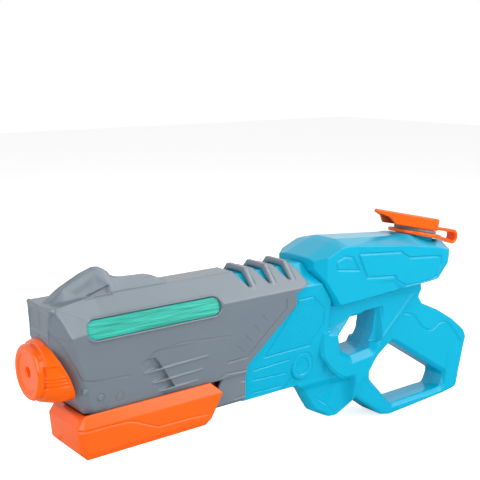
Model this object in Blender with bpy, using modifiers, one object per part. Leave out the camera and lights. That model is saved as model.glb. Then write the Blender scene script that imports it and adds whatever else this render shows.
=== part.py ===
"""A hand-pumped water squirter, built as an assembly of separate pieces.

Units in the constants are millimetres. The muzzle points along -X, the left side
faces -Y and +Z is up. The origin is under the middle of the toy, at its lowest point.
"""
import math

import bpy
import bmesh
from mathutils import Matrix, Vector

MM = 0.001
FLAT = math.radians(0.01)   # faces that bend more than this are split

# Fits
GAP = 0.3               # between pieces that touch
SLIDE = 0.4             # between pieces that slide on each other
WALL = 2.2              # moulded walls

# Long stations along the toy
MUZZLE_X = -191.0       # front face of the shroud
NOZZLE_REACH = 9.0      # how far the nozzle stands out of that face
SEAM_X = -46.0          # lower seam between the grey shroud and the blue frame
BUTT_X = 200.0          # rear end of the stock

# Grey shroud
TOP_Z = 141.5
TOP_HALF = 8.5
FOLD_Z = 125.5
FOLD_HALF = 25.0
SHROUD_Z = 70.0         # underside over the pump
SHROUD_HALF = 17.0
RAKE_Z = 118.0          # the front is upright above this height and raked below
RAKE_BACK = 21.0
FACE_HALF = 12.5        # half width of the front face
BLOCK_HALF = 15.5       # block behind the pump
BLOCK_FRONT_X = -66.0
BLOCK_SLANT = 12.0
BLOCK_TOP_Z = 75.0
SEAM_Z = 76.0           # top of the upright lower seam

# Teal inlay
INLAY_FRONT = 20.0      # from the muzzle
INLAY_LENGTH = 98.0
INLAY_HEIGHT = 12.0
INLAY_DEPTH = 1.6
INLAY_TILT = 20.0
INLAY_RISE = 0.1        # its middle lies this far above the fold
INLAY_SINK = 1.8
BEZEL = 1.5

# Relief on the shroud's sides
RELIEF = 0.8            # depth of the set-back lower panels
RUN_OUT = 0.15          # floors that run out end this far above the surface
LOUVRE_DEPTH = 0.7      # below the set-back panel
LOUVRE_SIDE = 1.2       # from a ledge's front end to the pocket over it
LEDGE_HALF = 0.45       # half height of the ledge under a louvre
STUD_PROUD = 0.5

# Top slots
SLOT_X = -45.7          # lower tip of the first slot
SLOT_PITCH = 17.6
SLOT_COUNT = 3
SLOT_LEAN = 9.3         # how far a slot's top reaches ahead of its tip
SLOT_FOOT = 1.5         # width of a slot at its tip
SLOT_TIP = 5.8          # height of the tips over the fold
RIB_WIDE = 3.7          # ribs behind the slots
RIB_STEP = 0.4          # a rib starts this far behind its slot
RIB_FOOT = 5.0          # and runs out this far above the fold
RIB_PROUD = 1.6

# Barrel line: nozzle and outlet tube
BARREL_Z = 99.5
NOZZLE_R = 18.5
NOZZLE_BASE_R = 22.0
JET_R = 2.4
SPIGOT_R = 4.2
THUMB_FLAT = 1.3        # depth of the finger grips on the nozzle's sides
THUMB_RIBS = 3
TUBE_WALL = 1.2

# Pump
PUMP_STROKE = 62.0
CYLINDER_R = 7.0
CYLINDER_WALL = 1.4
CYLINDER_REAR_X = -58.3
PISTON_LENGTH = 10.0
PISTON_REST = 8.0       # cylinder left behind the piston at rest
PISTON_SPARE = 12.0     # cylinder left in front of it at full stroke
GLAND_SKIRT = 4.0
GLAND_WALL = 1.5
GLAND_NOSE = 3.0
GLAND_GAP = 0.7         # between the gland and the shroud above it
ROD_R = 2.5
PIN_R = 1.3
ROD_SOCKET = 9.0        # from the handle's front to the bottom of the rod's socket
ROD_BOSS = 17.0         # from the handle's front to the end of the boss round it
PIN_BACK = 13.0         # from the handle's front to the rod's cross pin
HANDLE_REST = 7.7       # between the rod's boss and the gland at rest
HANDLE_HALF = 22.3
HANDLE_TOP_HALF = 19.4
HANDLE_LIP = 1.0        # how far its lips reach up beside the shroud
HANDLE_UNDER = 0.6      # between its end walls and the shroud above them
HANDLE_SIDE_Z = 63.5
HANDLE_Z = 43.0
HANDLE_GAP = 1.0        # between the handle and the block behind it
HANDLE_WALL = 1.9

# Valves
COLUMN_X = -50.0
VALVE_REACH = 16.0      # from the column to the block's rear mouth
VALVE_WALL = 1.1        # round the cylinder's socket
VALVE_GAP = 0.9         # under the valve block
COLUMN_R = 7.5
COLUMN_TOP_Z = 91.0
CHAMBER_R = 5.2
BALL_R = 3.6
SEAT_R = 1.9
INLET_R = 1.2           # bore of the inlet fitting
INLET_BARB = 11.0       # how far its barb reaches into the hose
INLET_SEAT = 7.0        # how far its valve seat reaches into the block
INLET_FLANGE = 4.0
SPRING_TURNS = 5
SPRING_WIRE = 0.5
SPRING_R = 3.0
HOSE_R = 3.2
HOSE_WALL = 1.0
GROMMET_WALL = 0.8
FILTER_LENGTH = 12.0

# Blue frame
FRAME_STEP = WALL + 0.4     # how far the frame lies inside the shroud's skin
FRAME_FRONT_X = -64.0       # front end of the tongue inside the shroud
FRAME_DROP = 1.5            # how far the frame reaches below the block
PLATE_HALF = 14.5           # grip
GUARD_HALF = 17.0
WEB_HALF = 9.5              # the wall behind the trigger opening
BADGE_X = 7.6               # ring on the frame's side
BADGE_Z = 62.7
BADGE_R = 9.8
BADGE_PROUD = 0.9
STOCK_HALF = 12.0
KNOB_HALF = 16.0
KNOB_STEP = 4.5             # how far the knob's upper front is set back
KNOB_SLOPE = 6.5            # width of the shoulder that leads to it
RIM = 3.0                   # chamfer round the thumbhole
TRIGGER_RIM = 5.0           # chamfer round the trigger opening
GUARD_SLOPE = 6.0           # how far the guard's sloped top runs in
CROSSING = 6.0              # how far the frame's shapes cross the middle before it is parted

# Water tank
TANK_HALF = 25.0
TANK_FRONT_X = 12.5
TANK_REAR_X = 163.0
TANK_Z = 104.0              # underside at its front
TANK_RISE = 0.033           # how much the underside climbs per millimetre
TANK_WALL = 2.0
KEEL_FRONT_X = 52.0
KEEL_REAR_X = 124.0
KEEL_HALF = 5.0
KEEL_DEPTH = 4.0

# Filler neck and cap
NECK_X = 140.0
NECK_Z = 140.9
NECK_TILT = 12.3
NECK_R = 15.0
NECK_WALL = 2.0
NECK_HEIGHT = 12.5
RING_WIDTH = 6.5
RING_LOW = 2.2              # from the neck's base to the ring
RING_THICK = 3.0
LID_SKIRT = 3.3             # how far the lid stands over the neck
LID_LOW = 7.8
LID_TOP = 17.6
BEAK = 50.0
BEAK_STEP = 32.0            # where the scoop under the beak starts
STRAP_HALF = 5.0
STRAP_THICK = 2.6
LOOP_X = 184.4              # middle of the strap's loop
LOOP_Z = 136.6
LOOP_R = 4.8

# Screws
SCREW_R = 1.5
SCREW_HEAD_R = 3.2
SCREW_HEAD = 2.4
POST_WALL = 1.6

# Sizes that follow from those above
CYLINDER_BORE = CYLINDER_R - CYLINDER_WALL
GLAND_R = CYLINDER_R + GAP + GLAND_WALL
VALVE_R = CYLINDER_R + GAP + VALVE_WALL
PUMP_Z = SHROUD_Z - GLAND_GAP - GLAND_R
HANDLE_TOP_Z = SHROUD_Z + HANDLE_LIP
BLOCK_Z = PUMP_Z - VALVE_R - VALVE_GAP - WALL
FRAME_Z = BLOCK_Z - FRAME_DROP
CYLINDER_FRONT_X = CYLINDER_REAR_X - PISTON_REST - PISTON_LENGTH - PUMP_STROKE - PISTON_SPARE
HANDLE_FRONT_X = CYLINDER_FRONT_X - GLAND_NOSE - HANDLE_REST - ROD_BOSS
HOSE_BORE = HOSE_R - HOSE_WALL
RING_R = NECK_R + RING_WIDTH
LID_R = NECK_R + LID_SKIRT

GREY = (0.205, 0.242, 0.270)
BLUE = (0.004, 0.480, 0.745)
ORANGE = (1.0, 0.145, 0.012)
TEAL = (0.036, 0.584, 0.473)
CLEAR = (0.62, 0.68, 0.70)
BLACK = (0.02, 0.02, 0.022)
STEEL = (0.55, 0.56, 0.58)

# Pieces shaped by so many joins and cuts that the exact solver leaves cracks in them
MANY_CUTS = ("frame_left", "frame_right", "shroud_left", "shroud_right", "water_tank", "pump_handle",
             "valve_block", "filler_cap", "nozzle_cap")


def clear_scene():
    """Start from an empty file."""
    for old in list(bpy.data.objects):
        bpy.data.objects.remove(old, do_unlink=True)


clear_scene()
parts = bpy.data.collections.new("water_squirter")
cutters = bpy.data.collections.new("cutters")
bpy.context.scene.collection.children.link(parts)
bpy.context.scene.collection.children.link(cutters)


def finish(name, colour, roughness, metallic=0.0):
    """A plain plastic, rubber or metal material."""
    made = bpy.data.materials.new(name)
    made.use_nodes = True
    shader = made.node_tree.nodes["Principled BSDF"]
    shader.inputs["Base Color"].default_value = (*colour, 1.0)
    shader.inputs["Roughness"].default_value = roughness
    shader.inputs["Metallic"].default_value = metallic
    return made


def put(name, mesh, collection):
    """Add a mesh object, shaded smooth except at its hard edges."""
    made = bpy.data.objects.new(name, mesh)
    collection.objects.link(made)
    mesh.shade_smooth()
    mesh.set_sharp_from_angle(angle=math.radians(30.0))
    return made


def piece(made, material):
    """Declare an object a piece of the toy, with its own material."""
    made.data.materials.clear()
    made.data.materials.append(finish(made.name, *material))
    for collection in list(made.users_collection):
        collection.objects.unlink(made)
    parts.objects.link(made)
    return made


def cutter(made):
    """Hide an object that only shapes others."""
    made.hide_render = True
    made.display_type = 'WIRE'
    return made


def boolean(target, tool, operation):
    """Cut a tool from a piece, or join it on."""
    cutter(tool)
    step = target.modifiers.new(tool.name, 'BOOLEAN')
    step.operation = operation
    step.solver = 'MANIFOLD' if target.name in MANY_CUTS else 'EXACT'
    step.object = tool


def cut(target, tool):
    boolean(target, tool, 'DIFFERENCE')


def join(target, tool):
    boolean(target, tool, 'UNION')


def bevel(target, width, segments=1, angle=30.0):
    step = target.modifiers.new("edge", 'BEVEL')
    step.width = width * MM
    step.segments = segments
    step.limit_method = 'ANGLE'
    step.angle_limit = math.radians(angle)
    target.modifiers.new("flat", 'TRIANGULATE')


def loft(name, rings, caps=None):
    """A closed solid through rings of points; caps splits the end faces where they fold."""
    build = bmesh.new()
    loops = [[build.verts.new(Vector(point) * MM) for point in ring] for ring in rings]
    count = len(loops[0])
    for first, second in zip(loops, loops[1:]):
        for i in range(count):
            j = (i + 1) % count
            build.faces.new((first[i], first[j], second[j], second[i]))
    for face in caps or [range(count)]:
        build.faces.new([loops[0][i] for i in face])
    build.faces.new(loops[-1])
    bmesh.ops.recalc_face_normals(build, faces=build.faces)
    bmesh.ops.connect_verts_nonplanar(build, angle_limit=FLAT, faces=build.faces)
    mesh = bpy.data.meshes.new(name)
    build.to_mesh(mesh)
    build.free()
    return put(name, mesh, cutters)


def slab(name, outline, low, high):
    """An outline in the side view, as thick as low to high across the toy."""
    return loft(name, [[(x, y, z) for x, z in outline] for y in (low, high)])


def rounded(corners, steps=3):
    """An outline whose corners (x, z, radius) are arcs."""
    made = []
    count = len(corners)
    for i, (x, z, radius) in enumerate(corners):
        here = Vector((x, z))
        back = (Vector(corners[i - 1][:2]) - here)
        ahead = (Vector(corners[(i + 1) % count][:2]) - here)
        half = back.angle(ahead) / 2.0
        reach = min(radius / math.tan(half), 0.49 * min(back.length, ahead.length))
        if radius == 0.0:
            made.append((x, z))
            continue
        start = here + back.normalized() * reach
        end = here + ahead.normalized() * reach
        for k in range(steps + 1):
            t = k / steps
            point = start * (1 - t) ** 2 + here * (2 * t * (1 - t)) + end * t * t
            made.append((point.x, point.y))
    return made


def offset(outline, distance):
    """The outline moved outwards, or inwards where distance is negative."""
    count = len(outline)
    area = sum(outline[i - 1][0] * outline[i][1] - outline[i][0] * outline[i - 1][1] for i in range(count))
    turn = 1.0 if area > 0 else -1.0
    made = []
    for i in range(count):
        here = Vector(outline[i])
        back = (here - Vector(outline[i - 1])).normalized()
        ahead = (Vector(outline[(i + 1) % count]) - here).normalized()
        out_a = Vector((back.y, -back.x)) * turn
        out_b = Vector((ahead.y, -ahead.x)) * turn
        shift = (out_a + out_b) / (1.0 + out_a.dot(out_b)) * distance
        made.append(tuple(here + shift))
    return made


def pill(length, height, steps=8):
    """A bar with round ends, centred, as an outline."""
    radius = height / 2.0
    made = []
    for end, start in ((1, -90.0), (-1, 90.0)):
        for k in range(steps + 1):
            angle = math.radians(start + 180.0 * k / steps)
            made.append((end * (length / 2.0 - radius) + radius * math.cos(angle), radius * math.sin(angle)))
    return made


def turned(name, profile, start, direction, steps=20):
    """A profile of (radius, distance) turned about an axis from start along direction."""
    count = len(profile)
    area = sum(profile[i - 1][0] * profile[i][1] - profile[i][0] * profile[i - 1][1] for i in range(count))
    if area > 0:
        profile = list(reversed(profile))
    closed = all(radius > 0 for radius, distance in profile)
    if not closed:
        while profile[0][0] > 0 or profile[-1][0] > 0:
            profile = profile[1:] + profile[:1]
    build = bmesh.new()
    points = [build.verts.new((radius * MM, 0.0, distance * MM)) for radius, distance in profile]
    for first, second in zip(points, points[1:]):
        build.edges.new((first, second))
    if closed:
        build.edges.new((points[-1], points[0]))
    mesh = bpy.data.meshes.new(name)
    build.to_mesh(mesh)
    build.free()
    made = bpy.data.objects.new(name, mesh)
    cutters.objects.link(made)
    made.location = Vector(start) * MM
    made.rotation_euler = Vector(direction).to_track_quat('Z', 'Y').to_euler()
    screw = made.modifiers.new("turn", 'SCREW')
    screw.steps = steps
    screw.render_steps = steps
    screw.use_merge_vertices = True
    screw.merge_threshold = 0.00001
    screw.use_smooth_shade = True
    return made


def rod(name, radius, start, end, steps=14):
    """A plain round bar between two points."""
    length = (Vector(end) - Vector(start)).length
    profile = [(0.0, length), (radius, length), (radius, 0.0), (0.0, 0.0)]
    return turned(name, profile, start, Vector(end) - Vector(start), steps)


def tube(name, outer, inner, start, end, steps=20):
    """A pipe between two points."""
    length = (Vector(end) - Vector(start)).length
    profile = [(inner, 0.0), (inner, length), (outer, length), (outer, 0.0)]
    return turned(name, profile, start, Vector(end) - Vector(start), steps)


def ball(name, radius, centre):
    """A small valve ball."""
    mesh = bpy.data.meshes.new(name)
    build = bmesh.new()
    bmesh.ops.create_uvsphere(build, u_segments=12, v_segments=8, radius=radius * MM)
    build.to_mesh(mesh)
    build.free()
    made = put(name, mesh, cutters)
    made.location = Vector(centre) * MM
    return made


def pipe(name, points, radius, resolution=4, sides=2, curved=True):
    """A solid bent bar along a curve, as a mesh."""
    curve = bpy.data.curves.new(name, 'CURVE')
    curve.dimensions = '3D'
    curve.bevel_depth = radius * MM
    curve.bevel_resolution = sides
    curve.use_fill_caps = True
    curve.resolution_u = resolution
    spline = curve.splines.new('BEZIER' if curved else 'POLY')
    if curved:
        spline.bezier_points.add(len(points) - 1)
        for knot, point in zip(spline.bezier_points, points):
            knot.co = Vector(point) * MM
            knot.handle_left_type = 'AUTO'
            knot.handle_right_type = 'AUTO'
    else:
        spline.points.add(len(points) - 1)
        for knot, point in zip(spline.points, points):
            knot.co = (*(Vector(point) * MM), 1.0)
    drawn = bpy.data.objects.new(name + "_curve", curve)
    cutters.objects.link(drawn)
    solid = bpy.data.meshes.new_from_object(drawn.evaluated_get(bpy.context.evaluated_depsgraph_get()))
    solid.name = name
    build = bmesh.new()
    build.from_mesh(solid)
    bmesh.ops.remove_doubles(build, verts=build.verts, dist=0.000001)
    bmesh.ops.recalc_face_normals(build, faces=build.faces)
    build.to_mesh(solid)
    build.free()
    bpy.data.objects.remove(drawn, do_unlink=True)
    return put(name, solid, cutters)


def side_half(z):
    """Half width of the shroud's straight side at a height below the fold."""
    return SHROUD_HALF + (FOLD_HALF - SHROUD_HALF) * (z - SHROUD_Z) / (FOLD_Z - SHROUD_Z)


def shroud_section(inset, bottom=SHROUD_Z):
    """Right half of the barrel's cross-section: top edge, fold, bottom edge."""
    low = side_half(bottom)
    full = [(-TOP_HALF, TOP_Z), (-FOLD_HALF, FOLD_Z), (-low, bottom),
            (low, bottom), (FOLD_HALF, FOLD_Z), (TOP_HALF, TOP_Z)]
    moved = offset(full, -inset)
    return moved[5], moved[4], moved[3]


def half_ring(stations, corners, middle, side):
    """One ring of a half shell: top, fold, waist and bottom, each at its own station."""
    (top_x, fold_x, waist_x, low_x) = stations
    (top, fold, low) = corners
    share = (fold[1] - RAKE_Z) / (fold[1] - low[1])
    waist = fold[0] + (low[0] - fold[0]) * share
    points = [(top_x, middle, top[1]), (top_x, top[0], top[1]), (fold_x, *fold), (waist_x, waist, RAKE_Z),
              (low_x, *low), (low_x, middle, low[1]), (waist_x, middle, RAKE_Z)]
    return [(x, side * y, z) for x, y, z in points]


def straight(x):
    return (x, x, x, x)


FRONT_CAPS = [(0, 1, 2, 3, 6), (6, 3, 4, 5)]


def inlay_frame(side):
    """Centre and directions of the teal inlay's flat bed."""
    tilt = math.radians(INLAY_TILT)
    outward = Vector((0.0, side * math.cos(tilt), math.sin(tilt)))
    upward = Vector((0.0, -side * math.sin(tilt), math.cos(tilt)))
    centre = Vector((MUZZLE_X + INLAY_FRONT + INLAY_LENGTH / 2.0, side * FOLD_HALF, FOLD_Z + INLAY_RISE))
    return centre - outward * (INLAY_SINK + 0.9), upward, outward


def inlay_slab(name, side, grow, low, high):
    """A pill-shaped slab on the inlay's bed."""
    centre, upward, outward = inlay_frame(side)
    outline = pill(INLAY_LENGTH + 2 * grow, INLAY_HEIGHT + 2 * grow)
    along = Vector((1.0, 0.0, 0.0))
    rings = [[centre + along * a + upward * b + outward * depth for a, b in outline] for depth in (low, high)]
    return loft(name, rings)


def rear_edge():
    """Side view of the shroud's rear edge, bottom to top."""
    return [(SEAM_X, BLOCK_Z - 10), (SEAM_X, SEAM_Z), (SEAM_X + 39.5, 113.0), (SEAM_X + 38.5, 122.0),
            (SEAM_X + 50.5, 127.6), (SEAM_X + 47.3, 136.1), (SEAM_X + 42.5, TOP_Z),
            (SEAM_X + 42.5, TOP_Z + 30)]


def block_front(z):
    """Station of the slanted face behind the pump at a height."""
    return BLOCK_FRONT_X - BLOCK_SLANT * (SHROUD_Z - z) / (SHROUD_Z - BLOCK_Z)


def fin_half(side):
    """The crest behind the visor: a tapered blade with a swept back edge."""
    crest = [(5.0, 140.4, 2.4, 5.0), (15.0, 147.4, 2.8, 7.4), (29.0, 154.1, 3.2, 7.8),
             (38.0, 157.0, 3.2, 7.8), (42.0, 156.6, 3.2, 7.8), (46.0, 153.8, 3.3, 7.8),
             (48.0, 150.7, 3.6, 7.8), (53.0, 148.6, 4.0, 7.8), (60.0, 147.6, 4.4, 7.8),
             (76.0, 146.8, 5.0, 7.8), (82.0, 145.0, 5.4, 7.6), (86.5, 142.0, 6.4, 7.2)]
    rings = []
    for back, top, half, foot in crest:
        x = MUZZLE_X + back
        base = TOP_Z - 2.6
        rings.append([(x, side * GAP / 2, base), (x, side * foot, base), (x, side * half, top),
                      (x, side * GAP / 2, top)])
    return loft("crest_left" if side < 0 else "crest_right", rings)


SHROUD_SCREWS = [(MUZZLE_X + 48.0, 86.0), (MUZZLE_X + 121.0, 86.0), (MUZZLE_X + 74.0, 114.0)]
FRAME_SCREWS = [(BADGE_X, BADGE_Z, side_half(BADGE_Z) - FRAME_STEP), (112.0, 92.0, PLATE_HALF),
                (BUTT_X - 17.0, 44.0, STOCK_HALF), (112.0, 4.2, STOCK_HALF)]

# Marks on the shroud's side, measured from the muzzle: studs as (back, z, radius) and the
# ledges of the louvres as (front, front_z, back, back_z)
STUDS = [(19.9, 86.0, 1.8), (30.6, 79.8, 2.4), (43.8, 77.4, 2.7)]
LOUVRES = [(60.7, 89.1, 109.4, 90.8), (68.0, 80.9, 106.0, 82.0), (73.7, 73.9, 102.5, 74.7)]
LOUVRE_TOP = (68.5, 98.2)       # where the slanted back wall of the louvres starts
LOUVRE_FOOT = (84.5, 75.2)      # and where it ends


def screw_seat(half):
    """Distance from the middle to the face that a screw's head sits on."""
    return half - 4.5


def drill(target, name, x, z, half, side):
    """The hole for a screw: a seat for its head on the right, a blind pilot on the left."""
    seat = screw_seat(half)
    if side > 0:
        cut(target, rod(name + "_hole", SCREW_R + GAP, (x, -2.0, z), (x, seat + 1.0, z), 12))
        cut(target, rod(name + "_sink", SCREW_HEAD_R + GAP, (x, seat, z), (x, half + 6.0, z), 12))
    else:
        cut(target, rod(name + "_pilot", SCREW_R + GAP, (x, 2.0, z), (x, -seat, z), 12))


def post(name, x, z, half, side):
    """The post inside a half shell that a screw runs through."""
    return rod(name, SCREW_HEAD_R + POST_WALL, (x, side * GAP / 2, z), (x, side * (half - 1.0), z), 12)


def screw(name, x, z, half):
    """A pan-head screw that runs from the right half into the left."""
    seat = screw_seat(half) + GAP
    profile = [(0.0, SCREW_HEAD), (SCREW_HEAD_R * 0.7, SCREW_HEAD), (SCREW_HEAD_R, SCREW_HEAD * 0.5),
               (SCREW_HEAD_R, 0.0), (SCREW_R, 0.0), (SCREW_R, 1.0 - 2 * seat), (0.0, 1.0 - 2 * seat)]
    return piece(turned(name, profile, (x, seat, z), (0, 1, 0), 10), (STEEL, 0.35, 1.0))


def side_pocket(name, side, floor):
    """A cutter through the shroud's side whose floor is given as corners (x, z, depth)."""
    rings = [[(x, side * (side_half(z) + 4.0), z) for x, z, depth in floor],
             [(x, side * (side_half(z) - depth), z) for x, z, depth in floor]]
    return loft(name, rings)


def back_wall(z):
    """Station of the louvres' slanted back wall at a height."""
    share = (LOUVRE_TOP[1] - z) / (LOUVRE_TOP[1] - LOUVRE_FOOT[1])
    return MUZZLE_X + LOUVRE_TOP[0] + (LOUVRE_FOOT[0] - LOUVRE_TOP[0]) * share


def side_relief(made, name, side):
    """Set-back lower panels, louvres that deepen to a back wall, their ledges, and studs."""
    front = MUZZLE_X
    under = SHROUD_Z - 2.0
    panel = [(front + 15.5, 97.0, RELIEF), (front + 19.0, 93.2, RELIEF), (front + 50.0, 88.7, -RUN_OUT),
             (front + 34.0, under, -RUN_OUT), (front + 33.0, under, RELIEF), (front + 25.0, under, RELIEF)]
    cut(made, side_pocket(name + "_front_panel", side, panel))
    panel = [(front + 57.8, 95.4, RELIEF), (front + 67.1, 102.8, RELIEF), (front + 128.0, 102.8, -RUN_OUT),
             (front + 112.0, under, -RUN_OUT), (front + 78.0, under, RELIEF)]
    cut(made, side_pocket(name + "_rear_panel", side, panel))
    ahead_above, above = LOUVRE_TOP[0] - 1.5, LOUVRE_TOP[1]
    for k, (ahead, low, back, high) in enumerate(LOUVRES):
        start, end = front + ahead, front + back
        shallow, deep = RELIEF - RUN_OUT, RELIEF + LOUVRE_DEPTH
        base = low + LEDGE_HALF / 2
        floor = [(start + LOUVRE_SIDE, base, shallow), (back_wall(base), base, deep),
                 (back_wall(above), above, deep), (front + ahead_above + LOUVRE_SIDE, above, shallow)]
        cut(made, side_pocket(f"{name}_louvre_{k + 1}", side, floor))
        ahead_above, above = ahead, low - LEDGE_HALF / 2
        rings = []
        for x, z in ((start, low), (end, high)):
            inner, outer = side_half(z) - WALL * 0.6, side_half(z) + 0.1
            rings.append([(x, side * inner, z - LEDGE_HALF), (x, side * outer, z - LEDGE_HALF),
                          (x, side * outer, z + LEDGE_HALF), (x, side * inner, z + LEDGE_HALF)])
        join(made, loft(f"{name}_ledge_{k + 1}", rings))
    for k, (back, z, radius) in enumerate(STUDS):
        half = side_half(z) - RELIEF
        ends = (front + back, side * (half - 1.2), z), (front + back, side * (half + STUD_PROUD), z)
        join(made, rod(f"{name}_stud_{k + 1}", radius, *ends, 12))


def rib(name, front, side):
    """A proud rib over the top, which runs out on the upper facet beside the slots' tips."""
    share = (TOP_Z - FOLD_Z - RIB_FOOT) / (TOP_Z - FOLD_Z)
    foot = TOP_HALF + (FOLD_HALF - TOP_HALF) * share
    back, root = front + RIB_WIDE, -1.0
    rings = []
    for y, z, proud in ((GAP / 2, TOP_Z, RIB_PROUD), (TOP_HALF - 0.6, TOP_Z, RIB_PROUD),
                        (foot, FOLD_Z + RIB_FOOT, 0.1)):
        section = ((front, proud), (back, proud), (back, root), (front, root))
        rings.append([(x, side * (y + rise), z + rise) for x, rise in section])
    rings[0] = [(x, side * GAP / 2, z) for x, y, z in rings[0]]
    return loft(name, rings)


def shroud(side):
    """One half of the grey shroud."""
    name = "shroud_left" if side < 0 else "shroud_right"
    middle = GAP / 2
    bottom_x = MUZZLE_X + RAKE_BACK
    face = ((14.5, TOP_Z - 2.5), (FACE_HALF, FOLD_Z - 1.5), (FACE_HALF, SHROUD_Z))
    cheek = ((15.8, TOP_Z - 1.9), (FOLD_HALF - 0.5, FOLD_Z - 3.5), (SHROUD_HALF, SHROUD_Z))
    outer = shroud_section(0.0)
    rings = [half_ring((MUZZLE_X, MUZZLE_X, MUZZLE_X, bottom_x), face, middle, side),
             half_ring((MUZZLE_X + 3.5, MUZZLE_X + 10, MUZZLE_X + 11, bottom_x + 7.5), cheek, middle, side),
             half_ring(straight(MUZZLE_X + 33), outer, middle, side),
             half_ring(straight(20.0), outer, middle, side)]
    made = loft(name, rings, FRONT_CAPS)

    inner = shroud_section(WALL)
    low = SHROUD_Z + WALL
    nose = ((FACE_HALF - 2.5, TOP_Z - 5.0), (FACE_HALF - 2.5, FOLD_Z - 2.5), (FACE_HALF - 2.5, low))
    cheek_in = ((TOP_HALF, TOP_Z - 3.5), (FOLD_HALF - 3.5, FOLD_Z - 4.0), (SHROUD_HALF - 2.5, low))
    hollow = [half_ring((MUZZLE_X + 3, MUZZLE_X + 3, MUZZLE_X + 3.5, bottom_x + 3), nose, -1.0, side),
              half_ring((MUZZLE_X + 8, MUZZLE_X + 14, MUZZLE_X + 15, bottom_x + 11), cheek_in, -1.0, side),
              half_ring(straight(MUZZLE_X + 36), inner, -1.0, side),
              half_ring(straight(30.0), inner, -1.0, side)]
    cut(made, loft(name + "_hollow", hollow, FRONT_CAPS))

    rings = []
    for y, low_z in ((middle, BLOCK_Z), (BLOCK_HALF - 3.0, BLOCK_Z), (BLOCK_HALF, BLOCK_Z + 3.0)):
        outline = [(block_front(BLOCK_TOP_Z), BLOCK_TOP_Z), (block_front(low_z), low_z), (SEAM_X + 4, low_z),
                   (SEAM_X + 4, BLOCK_TOP_Z)]
        rings.append([(x, side * y, z) for x, z in outline])
    join(made, loft(name + "_block", rings))
    pocket = [(block_front(BLOCK_Z) + 3.0, BLOCK_Z + WALL), (30.0, BLOCK_Z + WALL), (30.0, 82.0),
              (BLOCK_FRONT_X + 3.0, 82.0)]
    cut(made, slab(name + "_pocket", pocket, side * -1.0, side * (BLOCK_HALF - WALL)))
    join(made, fin_half(side))
    join(made, inlay_slab(name + "_bezel", side, BEZEL, -4.0, 0.9))
    cut(made, inlay_slab(name + "_bed", side, GAP, -INLAY_DEPTH, 8.0))

    side_relief(made, name, side)

    trim = rear_edge() + [(60.0, TOP_Z + 30), (60.0, BLOCK_Z - 10)]
    cut(made, slab(name + "_rear", trim, -side, side * 60.0))
    for k in range(SLOT_COUNT):
        tip = SLOT_X + k * SLOT_PITCH
        back = tip + SLOT_FOOT
        slot = [(tip - SLOT_LEAN, TOP_Z + 4), (back, TOP_Z + 4), (back, FOLD_Z + SLOT_TIP),
                (tip, FOLD_Z + SLOT_TIP)]
        cut(made, slab(f"{name}_slot_{k + 1}", slot, -side, side * FOLD_HALF))
        join(made, rib(f"{name}_rib_{k + 1}", back + RIB_STEP, side))
    cut(made, rod(name + "_muzzle_bore", NOZZLE_R * 0.45 + GAP, (MUZZLE_X - 5, 0, BARREL_Z),
                  (MUZZLE_X + 30, 0, BARREL_Z), 24))
    cut(made, rod(name + "_pump_bore", CYLINDER_R + SLIDE, (MUZZLE_X + 60, 0, PUMP_Z),
                  (SEAM_X - 8, 0, PUMP_Z), 24))
    for k, (x, z) in enumerate(SHROUD_SCREWS):
        half = side_half(z)
        join(made, post(f"{name}_boss_{k + 1}", x, z, half, side))
        drill(made, f"{name}_screw_{k + 1}", x, z, half, side)
    return piece(made, (GREY, 0.45))


def inlay(side):
    """The teal strip let into the fold."""
    name = "inlay_left" if side < 0 else "inlay_right"
    return piece(inlay_slab(name, side, 0.0, GAP - INLAY_DEPTH, 0.4), (TEAL, 0.35))


def flare_r(back):
    """Radius of the nozzle's flare behind its face, from the rim to the widest place."""
    return min(NOZZLE_R + (NOZZLE_BASE_R - 1.2 - NOZZLE_R) * (back - 3.0) / 8.0, NOZZLE_BASE_R)


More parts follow.
